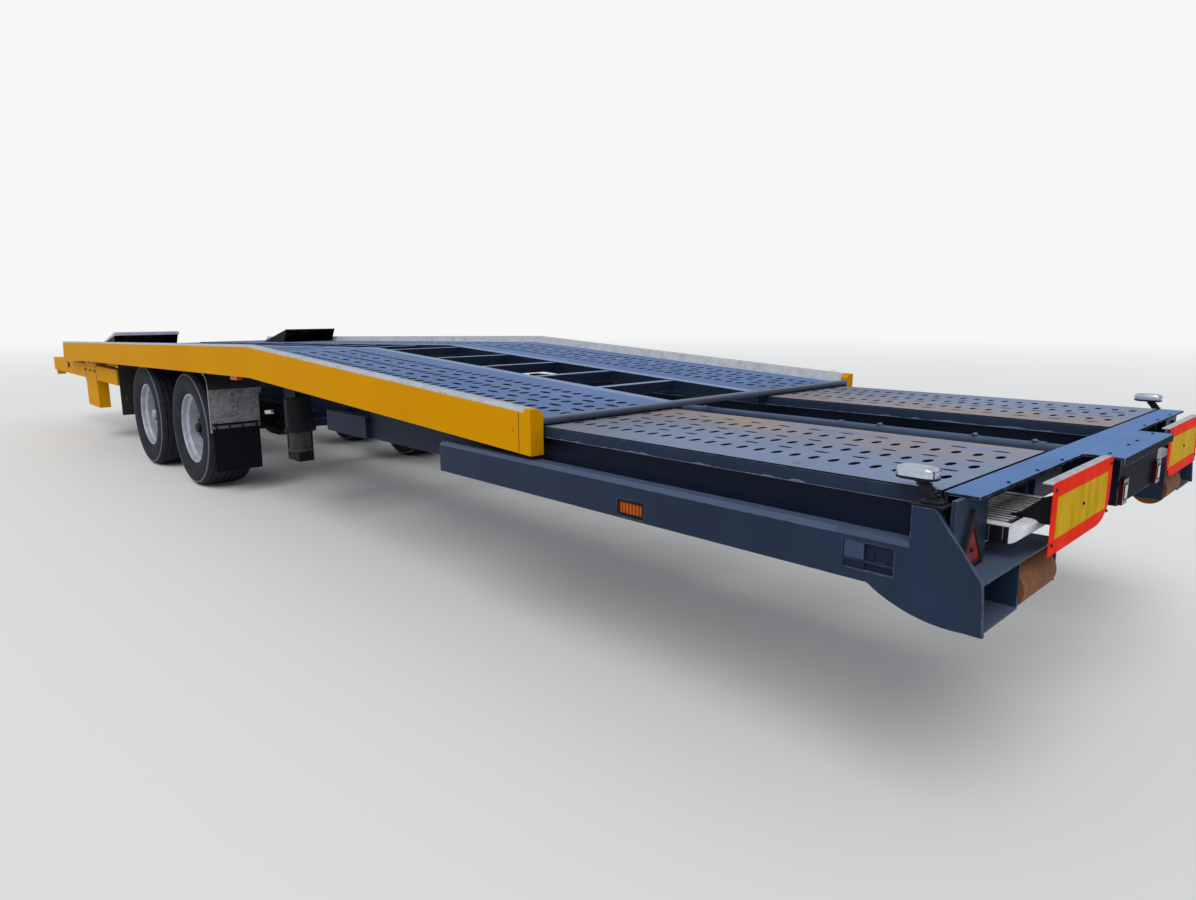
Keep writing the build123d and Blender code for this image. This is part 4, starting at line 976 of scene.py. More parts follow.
wheels = {
    "rear_left": (rear_axle, 1), "rear_right": (rear_axle, -1),
    "front_left": (front_axle, 1), "front_right": (front_axle, -1),
}
for name, (station, side) in wheels.items():
    centre = Vector((at_station(station), side * wheel_middle_y, axle_height))
    form = bmesh.new()
    turned(form, tyre_profile, centre, AXES["y"], tyre_steps, closed=True)
    notch_shoulders(form, centre)
    tyre = make_piece(form, "treaded_tyre_" + name, "tyre_rubber", "wheel_" + name, "tyre_" + name)
    scuffs = []
    for vert in tyre.data.vertices:
        radius = math.hypot(vert.co.x - centre.x, vert.co.z - centre.z)
        on_rib = rib_inner < radius < rib_outer and abs(vert.co.y - centre.y) > rib_from_middle
        scuffs.append(scuffed if on_rib else 0.0)
    tyre.data.attributes.new("scuff", "FLOAT", "POINT").data.foreach_set("value", scuffs)
print("each tyre has", len(tyre.data.polygons), "faces")

# %% [markdown]
# ## Rims
# The rim is a deep steel well with a bright lip. Its dished disc has a ring of hand holes and
# ten studs round a black hub that ends in a grease cap. The disc is a flat plate with holes,
# so it is grown like the decks and then dished by moving each point out by its radius.

# %% The wheel disc tree
disc_outer, disc_inner, disc_thickness, disc_dish = 0.262, 0.14, 0.011, 0.06
disc_tree, given, result = start_growth(
    "wheel_disc", Holes=10, Hole_ring=0.205, Hole_radius=0.026, Outer_radius=disc_outer,
    Hub_radius=disc_inner, Thickness=disc_thickness, Dish=disc_dish,
)
ring = circle(disc_tree, given["Holes"], given["Hole ring"])
ring_points = made(disc_tree, "CurveToPoints", ring, settings={"mode": "EVALUATED"})
hole = circle(disc_tree, 14, given["Hole radius"])
holes = made(disc_tree, "InstanceOnPoints", Points=ring_points, Instance=hole)
holes = made(disc_tree, "RealizeInstances", holes)
rim_edge, hub_edge = circle(disc_tree, 60, given["Outer radius"]), circle(disc_tree, 40, given["Hub radius"])
plate = thick_plate(disc_tree, joined(disc_tree, rim_edge, hub_edge, holes), given["Thickness"])
flattened = vector_math(disc_tree, "MULTIPLY", made(disc_tree, "InputPosition"), (1, 1, 0))[0]
radius = vector_math(disc_tree, "LENGTH", flattened)["Value"]
dished = remap(disc_tree, radius, given["Outer radius"], given["Hub radius"], 0.0, given["Dish"])
bowl = made(disc_tree, "SetPosition", Geometry=plate, Offset=vector(disc_tree, Z=dished))
end_growth(disc_tree, given, result, bowl)
print("wheel_disc has", len(disc_tree.nodes), "nodes")

# %% Turn the rims and hubs
# (outward from the wheel's middle, radius)
rim_profile = [
    (-0.172, 0.304), (-0.166, 0.304), (-0.162, 0.2875), (-0.13, 0.2845), (-0.105, 0.264), (0.06, 0.264),
    (0.108, 0.2665), (0.128, 0.2845), (0.157, 0.2875), (0.1605, 0.3045), (0.1615, 0.3055), (0.1618, 0.2985),
    (0.1605, 0.282), (0.154, 0.2785), (0.128, 0.276), (0.108, 0.2585), (0.06, 0.2555), (-0.105, 0.2555),
    (-0.132, 0.276), (-0.168, 0.28),
]
hub_profile = [(-0.12, 0.0), (-0.12, 0.13), (0.0, 0.141), (0.008, 0.135), (0.011, 0.118), (0.078, 0.108),
               (0.086, 0.098), (0.086, 0.0)]
cap_profile = [(0.0855, 0.0), (0.0855, 0.056), (0.094, 0.056), (0.096, 0.044), (0.122, 0.041), (0.129, 0.036),
               (0.131, 0.0)]
disc_rear = -0.06
for name, (station, side) in wheels.items():
    body = "wheel_" + name
    centre = Vector((at_station(station), side * wheel_middle_y, axle_height))
    outward = (Vector((0, side, 0)), Vector((0, 0, 1)), Vector((side, 0, 0)))
    form = bmesh.new()
    turned(form, rim_profile, centre, outward, 72, closed=True)
    make_piece(form, "rim_well_" + name, "rim_silver", body, "rim_" + name)
    disc = grow(disc_tree, base_mesh("disc", [(0, 0, 0)]), "rim_disc_" + name, "rim_silver", smooth=30.0)
    turn = Matrix((outward[2], outward[1], outward[0])).transposed().to_4x4()
    disc.data.transform(Matrix.Translation(centre + outward[0] * disc_rear) @ turn)
    if turn.determinant() < 0:
        disc.data.flip_normals()
    finish_piece(disc, "rim_silver", body)
    cap_look = "rim_silver" if "front" in name else "black_paint"
    parts = (("hub_", hub_profile, 40, "black_paint"), ("hub_cap_", cap_profile, 32, cap_look))
    for part, profile, segments, look in parts:
        form = bmesh.new()
        turned(form, profile, centre, outward, segments)
        make_piece(form, part + name, look, body)
print("a wheel disc has", len(disc.data.polygons), "faces")

# %% [markdown]
# ## Bolts, nuts and rivets
# Studs, bolts and rivets hold the wheels and plates. One tree puts a washer and a head on every point of a
# base mesh, and turns it to the way that the point faces. The base mesh holds only points and
# their directions, so each body's fasteners are one piece.

# %% The fastener tree
fastener_tree, given, result = start_growth(
    "fasteners", Sides=6, Head_radius=0.012, Head_height=0.009, Washer_radius=0.016, Washer_height=0.002,
)
head = made(
    fastener_tree, "MeshCone", Vertices=given["Sides"], Depth=given["Head height"],
    Radius_Bottom=given["Head radius"], Radius_Top=times(fastener_tree, given["Head radius"], 0.86),
)
washer = made(
    fastener_tree, "MeshCylinder", Vertices=12, Radius=given["Washer radius"], Depth=given["Washer height"],
)
lift = vector(fastener_tree, Z=times(fastener_tree, given["Washer height"], 0.5))
washer = made(fastener_tree, "Transform", Geometry=washer, Translation=lift)
faces_way = made(fastener_tree, "InputNamedAttribute", Name="facing", settings={"data_type": "FLOAT_VECTOR"})
aligned = add_node(
    fastener_tree, "FunctionNodeAlignRotationToVector", Vector=faces_way, settings={"axis": "Z"},
).outputs[0]
spread = made(
    fastener_tree, "InstanceOnPoints", Points=given["Geometry"], Instance=joined(fastener_tree, head, washer),
    Rotation=aligned,
)
end_growth(fastener_tree, given, result, spread)
print("fasteners has", len(fastener_tree.nodes), "nodes")

# %% Put fasteners on the wheels and plates
fastener_sets = {}


def bolt(body, kind, point, facing):
    fastener_sets.setdefault((body, kind), []).append((tuple(point), facing))


def wheel_circle(name, kind, count, first, radius, outward):
    """Fasteners in a circle on a wheel, where first is the first one's place as a share of a step."""
    station, side = wheels[name]
    for k in range(count):
        angle = 2 * math.pi * (k + first) / count
        x, z = at_station(station) + radius * math.sin(angle), axle_height + radius * math.cos(angle)
        bolt("wheel_" + name, kind, (x, side * (wheel_middle_y + outward), z), (0, side, 0))


stud_ring, hub_bolt_ring, hub_end = 0.1675, 0.084, 0.086
stud_rise = disc_rear + disc_thickness + disc_dish * (disc_outer - stud_ring) / (disc_outer - disc_inner)
for name in wheels:
    wheel_circle(name, "nut", 10, 0.5, stud_ring, stud_rise)
    wheel_circle(name, "small", 8, 0, hub_bolt_ring, hub_end)

# body, kind, first and last place as (station, y, z), count, facing
bolt_rows = [
    ("tail", "dark", (0.012, 0.523, 1.005), (0.012, 0.98, 1.005), 3, (0, 0, 1)),
    ("tail", "dark", (-0.06, 0.06, 1.005), (-0.06, 0.29, 1.005), 2, (0, 0, 1)),
    ("chassis", "bolt", (8.59, 0.86, 0.57), (8.59, 1.15, 0.57), 4, (1, 0, 0)),
    ("chassis", "bolt", (9.76, 1.18, 0.9), (10.22, 1.18, 0.9), 3, (0, 1, 0)),
    ("chassis", "bolt", (9.76, 1.18, 0.8), (10.22, 1.18, 0.8), 3, (0, 1, 0)),
    ("upper_deck", "dark", (1.80, 1.2715, 0.985), (1.80, 1.2715, 0.985), 1, (0, 1, 0)),
]
for station in (rear_axle, front_axle):
    for y in (0.40, 0.46):
        pair = ((station - 0.05, y, 0.56), (station + 0.05, y, 0.56))
        bolt_rows.append(("chassis", "bolt", *pair, 2, (0, 0, 1)))
board_bolts = [(y, z) for y in (board_low.y + 0.02, board_high.y - 0.02)
               for z in (board_low.z + 0.03, board_high.z - 0.02)] + [(board_middle.y, board_middle.z)]
for side, side_name in SIDES:
    for body, kind, first, last, count, facing in bolt_rows:
        start, end = (Vector((at_station(x), side * y, z)) for x, y, z in (first, last))
        for k in range(count):
            bolt(body, kind, start.lerp(end, k / max(count - 1, 1)), (facing[0], side * facing[1], facing[2]))
    for y, z in board_bolts:
        bolt("ramp_" + side_name, "dark", (at_station(-0.096), side * y, z), (-1, 0, 0))
print("fasteners placed:", {f"{body} {kind}": len(spots) for (body, kind), spots in fastener_sets.items()})

# %% Grow the fasteners
def grow_fasteners(name, body, spots, sides, head_radius, head_height, washer_radius, washer_height, look):
    base = base_mesh(name, [point for point, facing in spots], facing=[facing for point, facing in spots])
    grow_piece(
        fastener_tree, base, name, look, body, Sides=sides, Head_radius=head_radius, Head_height=head_height,
        Washer_radius=washer_radius, Washer_height=washer_height,
    )


# sides, head radius and height, washer radius and height, look
fastener_kinds = {
    "nut": (6, 0.0165, 0.036, 0.021, 0.004, "rim_silver"),
    "small": (6, 0.007, 0.012, 0.009, 0.002, "black_paint"),
    "bolt": (6, 0.0115, 0.018, 0.016, 0.003, "guard_zinc"),
    "dark": (10, 0.0045, 0.004, 0.006, 0.0012, "black_paint"),
    "clamp": (6, 0.008, 0.012, 0.012, 0.002, "black_paint"),
}
for (body, kind), spots in fastener_sets.items():
    grow_fasteners(body + "_" + kind + "s", body, spots, *fastener_kinds[kind])
print("fastener pieces:", len(fastener_sets))

# %% [markdown]
# ## Weld beads
# Where two plates meet, a welder leaves a rippled bead. Each seam is a line of points. The
# tree resamples the line every few millimetres and sweeps a small round section along it,
# swelling and shrinking as the welder's hand did.

# %% The weld bead tree
weld_tree, given, result = start_growth("weld_bead", Step=0.011, Radius=0.0045, Ripple=0.5)
seam = made(weld_tree, "MeshToCurve", given["Geometry"])
seam = made(weld_tree, "ResampleCurve", Curve=seam, Length=given["Step"], settings={"mode": "LENGTH"})
noise = add_node(weld_tree, "ShaderNodeTexNoise", Scale=90.0, Detail=1.0).outputs["Fac"]
swing = times(weld_tree, math_node(weld_tree, "SUBTRACT", noise, 0.5), given["Ripple"], 2.0)
seam = made(weld_tree, "SetCurveRadius", Curve=seam, Radius=math_node(weld_tree, "ADD", 1.0, swing))
section = circle(weld_tree, 5, given["Radius"])
swept = made(weld_tree, "CurveToMesh", Curve=seam, Profile_Curve=section, Fill_Caps=True)
end_growth(weld_tree, given, result, swept)
print("weld_bead has", len(weld_tree.nodes), "nodes")

# %% Lay the beads
# body, then the start and end of a seam as (station, y, z)
seams = [
    ("tail", (0.089, 1.182, 0.972), (0.089, 1.182, 0.80)),
    ("tail", (0.0805, 0.36, 0.9965), (0.0805, 1.17, 0.9965)),
]
seams += [("tail", (0.09, y, 0.76), (0.09, y, 0.99)) for y in (0.502, 0.578)]
seams += [("chassis", (x, 1.178, 0.66), (x, 1.178, 0.87)) for x in (9.72, 10.26)]
seams += [("upper_deck", (x, 0.312, 1.02), (x, 0.312, 1.05)) for x in (2.4, 3.2, 4.0, 5.6, 7.2, 8.8, 10.4)]
for body in ("tail", "chassis", "upper_deck"):
    ends = [end for owner, *pair in seams if owner == body for end in pair]
    points = [(at_station(x), side * y, z) for side, side_name in SIDES for x, y, z in ends]
    links = [(k, k + 1) for k in range(0, len(points), 2)]
    beads = base_mesh("seam", points, links)
    grow_piece(weld_tree, beads, body + "_weld_beads", "slate_paint", body, smooth=60.0)
print("weld beads:", 2 * len(seams))

# %% [markdown]
# ## Marker boards
# The plate itself is thin, its top edge is folded, and its lower inner corner has been
# rounded off. It replaces the square plate of the CAD model, together with the two arms that
# hold it to the ramp.

# %% Cut the boards
def board_outline(side):
    inner, outer, low, high = board_low.y, board_high.y, board_low.z, board_high.z
    curve, stretch = 0.075, 1.6
    points = [(outer, low), (outer, high), (inner, high), (inner, low + curve)]
    for k in range(1, 6):
        angle = math.pi / 2 * k / 6
        points.append((inner + curve * (1 - math.cos(angle)) * stretch, low + curve * (1 - math.sin(angle))))
    points.append((inner + curve * stretch, low))
    return [(side * y, z) for y, z in points]


arm_outline = side_outline([
    (0.896, -0.0915), (0.972, -0.0915), (0.976, -0.08), (0.968, -0.062), (0.945, -0.036), (0.918, -0.006),
    (0.908, 0.02), (0.9035, 0.02), (0.9035, -0.04), (0.896, -0.06),
])
for side, side_name in SIDES:
    body = "ramp_" + side_name
    form = bmesh.new()
    cut_plate(form, board_outline(side), "x", *stations(-0.096, -0.0935))
    make_piece(form, "board_sheet_" + side_name, "marker_sheet", body, "marker_board_" + side_name)
    form = bmesh.new()
    slab(form, side, stations(-0.0955, -0.066), (board_low.y + 0.002, board_high.y - 0.002),
         (board_high.z - 0.005, board_high.z - 0.0005), 0.0015)
    slab(form, side, stations(-0.0935, -0.0915), (board_low.y + 0.14, board_high.y - 0.01),
         (board_low.z + 0.004, board_high.z - 0.004), 0.0005)
    make_piece(form, "board_backing_" + side_name, "kerb_zinc", body)
    form = bmesh.new()
    for y in (0.663, 0.923):
        cut_plate(form, arm_outline, "y", side * y - 0.005, side * y + 0.005)
    make_piece(form, "board_arms_" + side_name, "black_paint", body)
print("board outline has", len(board_outline(1)), "corners")

# %% [markdown]
# ## Ramp decks
# A loading ramp is closed on top by extruded alloy planks, whose fine ridges run along it.
# One tree makes a ridged plank as long and wide as it is told. At the rear end a rolled nose
# is scuffed bright, bright strips edge the planks, and dark pads line the ramp's sides. Planks,
# nose and strips are also paler than the alloy, as painted light on the shaded ramp top.

# %% The ridged plank tree
plank_tree, given, result = start_growth(
    "ridged_plank", Length=1.9, Width=0.4, Ridges=24, Ridge_height=0.0035, Sheet_thickness=0.003,
)
pitch = math_node(plank_tree, "DIVIDE", given["Width"], given["Ridges"])
ridge_size = vector(
    plank_tree, X=given["Length"], Y=times(plank_tree, pitch, 0.5),
    Z=times(plank_tree, given["Ridge height"], 2.0),
)
ridge = made(plank_tree, "MeshCube", Size=ridge_size)
first_ridge = times(plank_tree, math_node(plank_tree, "SUBTRACT", pitch, given["Width"]), 0.5)
ridge_line = made(
    plank_tree, "MeshLine", Count=given["Ridges"], Start_Location=vector(plank_tree, Y=first_ridge),
    Offset=vector(plank_tree, Y=pitch),
)
ridges = made(plank_tree, "InstanceOnPoints", Points=ridge_line, Instance=ridge)
sheet_size = vector(plank_tree, X=given["Length"], Y=given["Width"], Z=given["Sheet thickness"])
drop = vector(plank_tree, Z=times(plank_tree, given["Sheet thickness"], -0.5))
sheet = made(plank_tree, "MeshCube", Size=sheet_size)
sheet = made(plank_tree, "Transform", Geometry=sheet, Translation=drop)
plank = joined(plank_tree, sheet, ridges)
laid = made(plank_tree, "InstanceOnPoints", Points=given["Geometry"], Instance=plank)
end_growth(plank_tree, given, result, laid)
print("ridged_plank has", len(plank_tree.nodes), "nodes")

# %% Close the ramps
ramp_low, ramp_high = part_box("loading_ramp_left")
ramp_middle_y = (ramp_low.y + ramp_high.y) / 2
ramp_top = ramp_high.z
nose_length = 0.05
nose_front = -0.018
# (above the ramp's top, station)
nose_points = [(-0.046, nose_front), (-0.044, -0.026), (-0.038, -0.036), (-0.026, -0.049), (-0.012, -0.0535),
               (-0.002, -0.0535), (0.0035, -0.048), (0.0055, -0.036), (0.0055, nose_front)]
nose_outline = side_outline([(ramp_top + rise, station) for rise, station in nose_points])
pad_ends = [(-0.0175, -0.005), (-0.002, 0.03), (0.033, 0.092), (0.095, 0.14), (0.143, 0.3)]
for side, side_name in SIDES:
    body = "ramp_" + side_name
    middle = ((ramp_low.x + nose_length + ramp_high.x) / 2, side * ramp_middle_y, ramp_top + 0.002)
    planks = grow_piece(
        plank_tree, base_mesh("plank", [middle]), "ramp_planks_" + side_name, "plank_alloy", body,
        Length=ramp_high.x - ramp_low.x - nose_length, Width=ramp_high.y - ramp_low.y - 0.004, Ridges=14,
        Ridge_height=0.0025, Sheet_thickness=0.003,
    )
    form = bmesh.new()
    cut_plate(form, nose_outline, "y", *sorted((side * (ramp_low.y - 0.002), side * (ramp_high.y + 0.0025))))
    for y in (ramp_low.y - 0.0015, ramp_high.y - 0.0125):
        slab(form, side, (at_station(nose_front) - 0.001, ramp_high.x - 0.002), (y, y + 0.0145),
             (ramp_top - 0.002, ramp_top + 0.0062))
    make_piece(form, "ramp_nose_" + side_name, "nose_alloy", body)
    form = bmesh.new()
    for y in (ramp_low.y - 0.0055, ramp_high.y + 0.0002):
        for pad in pad_ends:
            slab(form, side, stations(*pad), (y, y + 0.0053), (ramp_top - 0.048, ramp_top - 0.0025), 0.002)
    make_piece(form, "ramp_pad_" + side_name, "black_paint", body)
print("a ramp deck has", len(planks.data.polygons), "faces")

# %% [markdown]
# ## Lamps and reflectors
# The corner lamps are pill-shaped heads on leaning rubber stalks, with prisms at the rear
# end. The tail lamps have a dark red body with a white lens let in. A black frame holds
# each three-cornered reflector, and the side markers sit in black frames with ribbed lenses.

# %% Corner lamp heads
def stacked(form, outline, middle, levels):
    """An outline round a middle point, scaled at each (z, scale) level and closed above and below."""
    rings = []
    for z, scale in levels:
        spots = [[m + (part - m) * scale for part, m in zip(spot, middle)] for spot in outline]
        rings.append([form.verts.new((*spot, z)) for spot in spots])
    form.faces.new(rings[0])
    form.faces.new(rings[-1])
    for low_ring, high_ring in zip(rings, rings[1:]):
        for k in range(len(outline)):
            m = (k + 1) % len(outline)
            form.faces.new([low_ring[k], low_ring[m], high_ring[m], high_ring[k]])


def pill(low, high, radius, steps=6):
    """A rectangle's outline with round corners."""
    points = []
    corners = ((high[0], high[1], 0), (low[0], high[1], 90), (low[0], low[1], 180), (high[0], low[1], 270))
    for x, y, turn in corners:
        middle_x = x - math.copysign(radius, x - (low[0] + high[0]) / 2)
        middle_y = y - math.copysign(radius, y - (low[1] + high[1]) / 2)
        for k in range(steps + 1):
            angle = math.radians(turn + 90 * k / steps)
            points.append((middle_x + radius * math.cos(angle), middle_y + radius * math.sin(angle)))
    return points


head_low, head_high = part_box("corner_lamps")
head_levels = [
    (1.0342, 0.8), (1.037, 0.93), (1.042, 0.99), (1.057, 1.0), (1.063, 0.95), (1.067, 0.86), (1.0695, 0.66),
]
rim_levels = [(1.0341, 0.84), (1.0365, 0.985), (1.0425, 1.0), (1.0426, 0.9)]
foot_levels = [(0.9779, 1.0), (0.983, 1.0), (0.9865, 0.86), (0.9885, 0.6)]
stalk = pill((-0.0155, -0.013), (0.0155, 0.013), 0.008)
stalk_bottom, fold_pitch, stalk_lean = 0.986, 0.0044, 0.8
for side, side_name in SIDES:
    middle_y = side * 1.236
    outline = pill((head_low.x, middle_y - 0.03), (head_high.x, middle_y + 0.03), 0.0255)
    middle = ((head_low.x + head_high.x) / 2, middle_y)
    form = bmesh.new()
    stacked(form, outline, middle, head_levels)
    heads, feet = (("corner_lamps",), ("corner_lamp_feet",)) if side > 0 else ((), ())
    make_piece(form, "lamp_head_" + side_name, "lamp_silver", "tail", *heads, smooth=50.0)
    form = bmesh.new()
    stacked(form, outline, middle, rim_levels)
    for k in range(5):
        y = middle_y + (k - 2) * 0.0095
        prism_rear = head_low.x + 0.0005 + 0.001 * (k - 2) ** 2
        block(form, (prism_rear, y - 0.0022, 1.041), (head_low.x + 0.02, y + 0.0022, 1.0615))
    slab(form, side, stations(0.06, 0.145), (1.2045, 1.2745), (0.972, 0.978), 0.002)
    foot = pill((at_station(0.072), middle_y - 0.026), (at_station(0.134), middle_y + 0.026), 0.02)
    stacked(form, foot, (at_station(0.103), middle_y), foot_levels)
    for k in range(11):
        rise = stalk_bottom + k * fold_pitch
        lean = at_station(0.1) + (rise - stalk_bottom) * stalk_lean
        swell = 1.0 if k % 2 else 1.16
        ring = [(lean + x * swell, middle_y + y * swell) for x, y in stalk]
        stacked(form, ring, (lean, middle_y), [(rise, 1.0), (rise + 0.0046, 1.0)])
    make_piece(form, "lamp_stalk_" + side_name, "black_paint", "tail", *feet)
print("lamp head", round(head_high.x - head_low.x, 3), "m long")

# %% Frames and inserts
marker_low, marker_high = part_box("sill_markers")
reflector_low, reflector_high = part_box("tail_reflectors")
lamp_low, lamp_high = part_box("tail_lamps")
reflector_y = 1.165
frame_border, rib_count = 0.009, 7


def frame_of(form, low, high, border, y_range):
    """Four bars round the rectangle from low to high in x and z, over a range of y."""
    near, far = sorted(y_range)
    block(form, (low[0], near, low[1]), (high[0], far, low[1] + border))
    block(form, (low[0], near, high[1] - border), (high[0], far, high[1]))
    block(form, (low[0], near, low[1] + border), (low[0] + border, far, high[1] - border))
    block(form, (high[0] - border, near, low[1] + border), (high[0], far, high[1] - border))


def triangle(half, below_edge, above_edge):
    """Corners round a reflector, as (y, z) for the left side."""
    foot, tip = reflector_low.z + below_edge, reflector_high.z + above_edge
    return [(reflector_y - half, foot), (reflector_y + half, foot), (reflector_y, tip)]


# The frame's apex reaches 0.03 above the reflector and covers its top, a dark area that stands for the shade
# there.
outer, hole = triangle(0.0775, -0.0035, 0.03), triangle(0.062, 0.0075, -0.0145)
for side, side_name in SIDES:
    form = bmesh.new()
    frame_low = (marker_low.x + 0.001, marker_low.z + 0.001)
    frame_high = (marker_high.x - 0.001, marker_high.z - 0.001)
    frame_of(form, frame_low, frame_high, frame_border, (side * 1.262, side * 1.2749))
    for k in range(3):
        m = (k + 1) % 3
        bar = [(side * a, b) for a, b in (outer[k], outer[m], hole[m], hole[k])]
        cut_plate(form, bar, "x", *stations(0.0235, 0.0335))
    lamp_y = side * (lamp_high.y - 0.03)
    block(form, (lamp_low.x - 0.0012, lamp_y - 0.0175, lamp_low.z + 0.014),
          (lamp_low.x + 0.004, lamp_y + 0.0175, lamp_high.z - 0.014))
    block(form, (at_station(0.0228), side * reflector_y - 0.006, reflector_low.z + 0.04),
          (at_station(0.0262), side * reflector_y + 0.006, reflector_low.z + 0.052))
    make_piece(form, "lamp_frames_" + side_name, "black_paint", "tail")
    form = bmesh.new()
    slab(form, side, (marker_low.x + 0.005, marker_high.x - 0.005), (1.2585, 1.2665),
         (marker_low.z + 0.005, marker_high.z - 0.005))
    for k in range(rib_count):
        x = marker_low.x + 0.016 + k * (marker_high.x - marker_low.x - 0.032) / (rib_count - 1)
        crown = 1.2705 + 0.0025 * math.sin(math.pi * k / (rib_count - 1))
        rib_z = (marker_low.z + 0.011, marker_high.z - 0.011)
        slab(form, side, (x - 0.0055, x + 0.0055), (1.266, crown), rib_z, 0.002)
    markers = ("sill_markers",) if side > 0 else ()
    make_piece(form, "ribbed_marker_" + side_name, "amber_lens", "tail", *markers)
    form = bmesh.new()
    block(form, (lamp_low.x - 0.0028, lamp_y - 0.0125, lamp_low.z + 0.02),
          (lamp_low.x, lamp_y + 0.0125, lamp_high.z - 0.02), 0.0015)
    make_piece(form, "lamp_insert_" + side_name, "clear_lens", "tail")
print("reflector frames and lamp inserts placed")

# %% [markdown]
# ## Pockets, clamps and the kerb's fittings
# The pocket in each gusset holds a pale plate and a shelf with two small fittings. Clamps
# hold the centre pipe to its saddles. The end caps of the kerbs are separate castings, so a
# dark seam shows where they start. The sills' top flange runs on behind each gusset.

# %% Small fittings
shelf_inner, shelf_outer, inset = 1.256, 1.2735, 0.006
for side, side_name in SIDES:
    shelf = (shelf_inner, shelf_outer)
    fitting = (shelf_inner, shelf_outer - inset) if side > 0 else (shelf_inner + inset, shelf_outer)
    place_fittings(side, side_name, [
        ("pocket_plate", "pipe_paint", "tail", 0.001, [((0.264, 0.3205), (1.264, 1.2722), (0.797, 0.8435))]),
        ("pocket_shelf", "shade_paint", "tail", 0.001, [
            ((0.18, 0.3205), shelf, (0.790, 0.7945)),
            ((0.2, 0.226), fitting, (0.7945, 0.8)),
            ((0.236, 0.242), fitting, (0.806, 0.824)),
        ]),
        ("sill_flange", "gusset_paint", "tail", 0.001, [((0.141, 0.346), (1.214, 1.2635), (0.865, 0.8728))]),
        ("cap_seam", "black_paint", "upper_deck", 0.0003, [
            ((1.756, 1.76), (1.2738, 1.2752), (0.898, 1.062)),
            ((1.795, 1.80), (1.218, 1.2745), (1.0925, 1.0935)),
        ]),
    ])
form = bmesh.new()
pipe_top = 0.9889
# half length, range of y, and how far below and above the pipe's top
clamp_blocks = ((0.004, (0.062, 0.092), 0.012, 0.004), (0.011, (0.07, 0.084), 0.008, 0.0015))
for station in (0.226, 0.439, 0.826):
    for half, y, down, up in clamp_blocks:
        slab(form, 1, stations(station - half, station + half), y, (pipe_top - down, pipe_top + up))
make_piece(form, "pipe_clamps", "beam_paint", "tail")
print("pocket, flange and seam fittings placed")

# %% [markdown]
# ## Mudguards, wheel plates and the front lamps
# A rolled lip stiffens the outer edge of each mudguard's skirt, and a bolted strip clamps the
# rubber flap under it. The raised wheel plates have a pale edge bar on the left and a
# toothed grip edge on the right. A small lamp sits on each front side beam.

# %% Skirt lips and clamp strips
flap_strips = [
    ("flap_strip", "guard_zinc", "chassis", 0.001, [((5.7915, 5.7948), (0.82, 1.19), (0.548, 0.572))]),
]
arch = side_outline([
    (0.86, 5.806), (0.9, 5.81), (0.94, 5.828), (0.972, 5.862), (0.99, 5.91),
    (0.984, 5.914), (0.966, 5.868), (0.934, 5.836), (0.898, 5.82), (0.86, 5.816),
])
for side, side_name in SIDES:
    form = bmesh.new()
    slab(form, side, stations(5.8005, 5.816), (1.184, 1.198), (0.52, 0.86), 0.002)
    cut_plate(form, arch, "y", *sorted((side * 1.176, side * 1.1975)))
    make_piece(form, "skirt_lip_" + side_name, "kerb_zinc", "chassis")
    place_fittings(side, side_name, flap_strips)
    spots = [((at_station(5.7915), side * y, 0.56), (-1, 0, 0)) for y in (0.85, 0.96, 1.06, 1.16)]
    grow_fasteners("clamp_bolts_" + side_name, "chassis", spots, *fastener_kinds["clamp"])
print("clamp bolts on a side:", len(spots))

# %% Edges of the wheel plates
plates_low, plates_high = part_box("wheel_plates")
plate_rear, plate_front = plates_low.x, plates_high.x
plate_left, plate_high = plates_high.y, plates_high.z
plate_width, tooth_count, tooth_pitch = 0.605, 24, 0.0248


def plate_top(x):
    return plate_high + (x - plate_rear) / (plate_front - plate_rear) * (plates_low.z + 0.008 - plate_high)


bar_end = plate_front - 0.03
bar_outline = [(plate_top(plate_rear) - 0.032, plate_rear), (plate_top(plate_rear) - 0.0005, plate_rear),
               (plate_top(bar_end) - 0.0005, bar_end), (plate_top(bar_end) - 0.012, bar_end)]
form = bmesh.new()
for y in (plate_left - 0.002, plate_left - plate_width):
    cut_plate(form, bar_outline, "y", y, y + 0.007)
block(form, (plate_rear - 0.006, plate_left - plate_width, plate_high - 0.034),
      (plate_rear + 0.001, plate_left + 0.005, plate_high - 0.0005), 0.002)
make_piece(form, "plate_edge_left", "kerb_zinc", "upper_deck")
form = bmesh.new()
tooth_rear, tooth_front = plate_rear - 0.022, plate_rear + 0.002
for k in range(tooth_count):
    y = -plate_left + 0.01 + k * tooth_pitch
    block(form, (tooth_rear, y, plate_high - 0.016), (tooth_front, y + 0.013, plate_high - 0.001))
make_piece(form, "plate_edge_right", "black_paint", "upper_deck")
print("wheel plate edges reach", round(plate_front - plate_rear, 3), "m")

# %% Front lamps
front_lamps = [
    ("front_lamp_base", "black_paint", "chassis", 0.002,
     [((11.16, 11.33), (1.1795, 1.1855), (0.778, 0.842))]),
    ("front_lamp", "amber_lens", "chassis", 0.004, [((11.21, 11.32), (1.185, 1.193), (0.786, 0.834))]),
]
for side, side_name in SIDES:
    place_fittings(side, side_name, front_lamps)
print("front lamps:", len(SIDES))

# %% [markdown]
# ## Floor, light and background
# A pale plain floor and a white background keep the eye on the trailer. A large soft sun
# from behind the camera's left, and an even white world, light it at a level where a colour
# renders about as it is written. Far out the floor fades into the background's white.

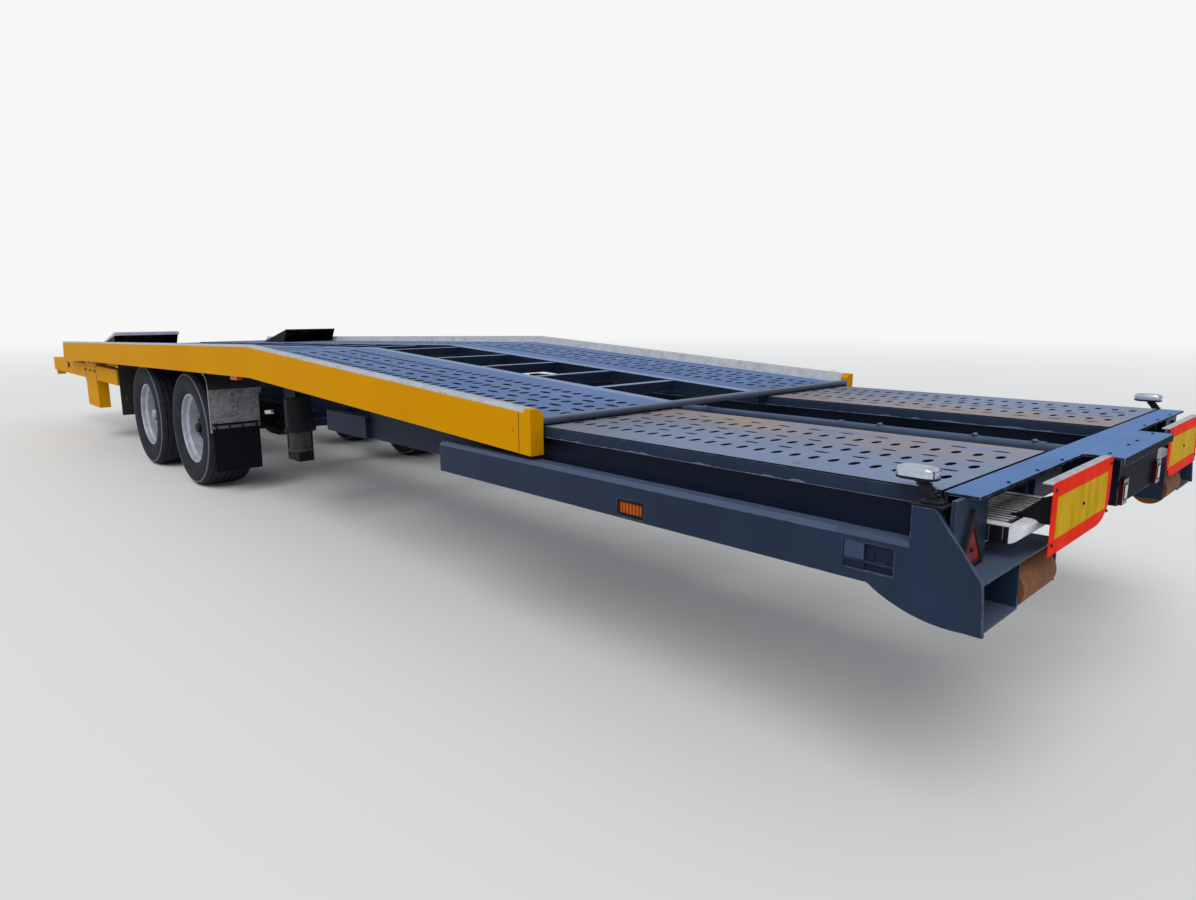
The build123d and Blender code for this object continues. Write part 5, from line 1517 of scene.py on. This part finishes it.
# %% Stage
backdrop_white = (0.93, 0.93, 0.93, 1.0)
fade_start, fade_end = 11.0, 38.0
form = bmesh.new()
bmesh.ops.create_grid(form, x_segments=1, y_segments=1, size=90.0)
floor_mesh = bpy.data.meshes.new("studio_floor")
form.to_mesh(floor_mesh)
form.free()
studio_floor = add_object("studio_floor", floor_mesh)
studio_floor.location.z = -0.001

tree, shader = start_material("studio_floor")
shader["Base Color"].default_value = (0.78, 0.78, 0.775, 1.0)
shader["Roughness"].default_value = 0.9
shader["Specular IOR Level"].default_value = 0.1
distance = vector_math(tree, "LENGTH", object_place(tree))["Value"]
white = add_node(tree, "ShaderNodeEmission", Color=backdrop_white, Strength=1.0).outputs[0]
seen = add_node(tree, "ShaderNodeLightPath").outputs["Is Camera Ray"]
fading = times(tree, remap(tree, distance, fade_start, fade_end), seen)
blend = add_node(tree, "ShaderNodeMixShader", fading, tree.nodes["Principled BSDF"].outputs[0], white)
plug(tree, tree.nodes["Material Output"].inputs["Surface"], blend.outputs[0])
floor_mesh.materials.append(looks["studio_floor"])

world = bpy.data.worlds.new("studio")
bpy.context.scene.world = world
world.use_nodes = True
tree = world.node_tree
rays = add_node(tree, "ShaderNodeLightPath").outputs
plain_ray = math_node(tree, "MAXIMUM", rays["Is Camera Ray"], rays["Is Transmission Ray"])
backdrop = add_node(tree, "ShaderNodeBackground", Color=backdrop_white, Strength=1.0).outputs[0]
lighting = tree.nodes["Background"]
lighting.inputs["Color"].default_value = (0.93, 0.96, 1.0, 1.0)
lighting.inputs["Strength"].default_value = 0.62
chosen = add_node(tree, "ShaderNodeMixShader", plain_ray, lighting.outputs[0], backdrop).outputs[0]
plug(tree, tree.nodes["World Output"].inputs["Surface"], chosen)

sun_data = bpy.data.lights.new("soft_sun", "SUN")
sun_data.energy = 1.5
sun_data.angle = math.radians(40)
sun_data.color = (1.0, 0.985, 0.96)
sun = add_object("soft_sun", sun_data)
sun.rotation_euler = Vector((0.35, -0.75, -1.0)).to_track_quat("-Z", "Y").to_euler()
bpy.context.scene.view_settings.view_transform = "Standard"
print("stage ready")
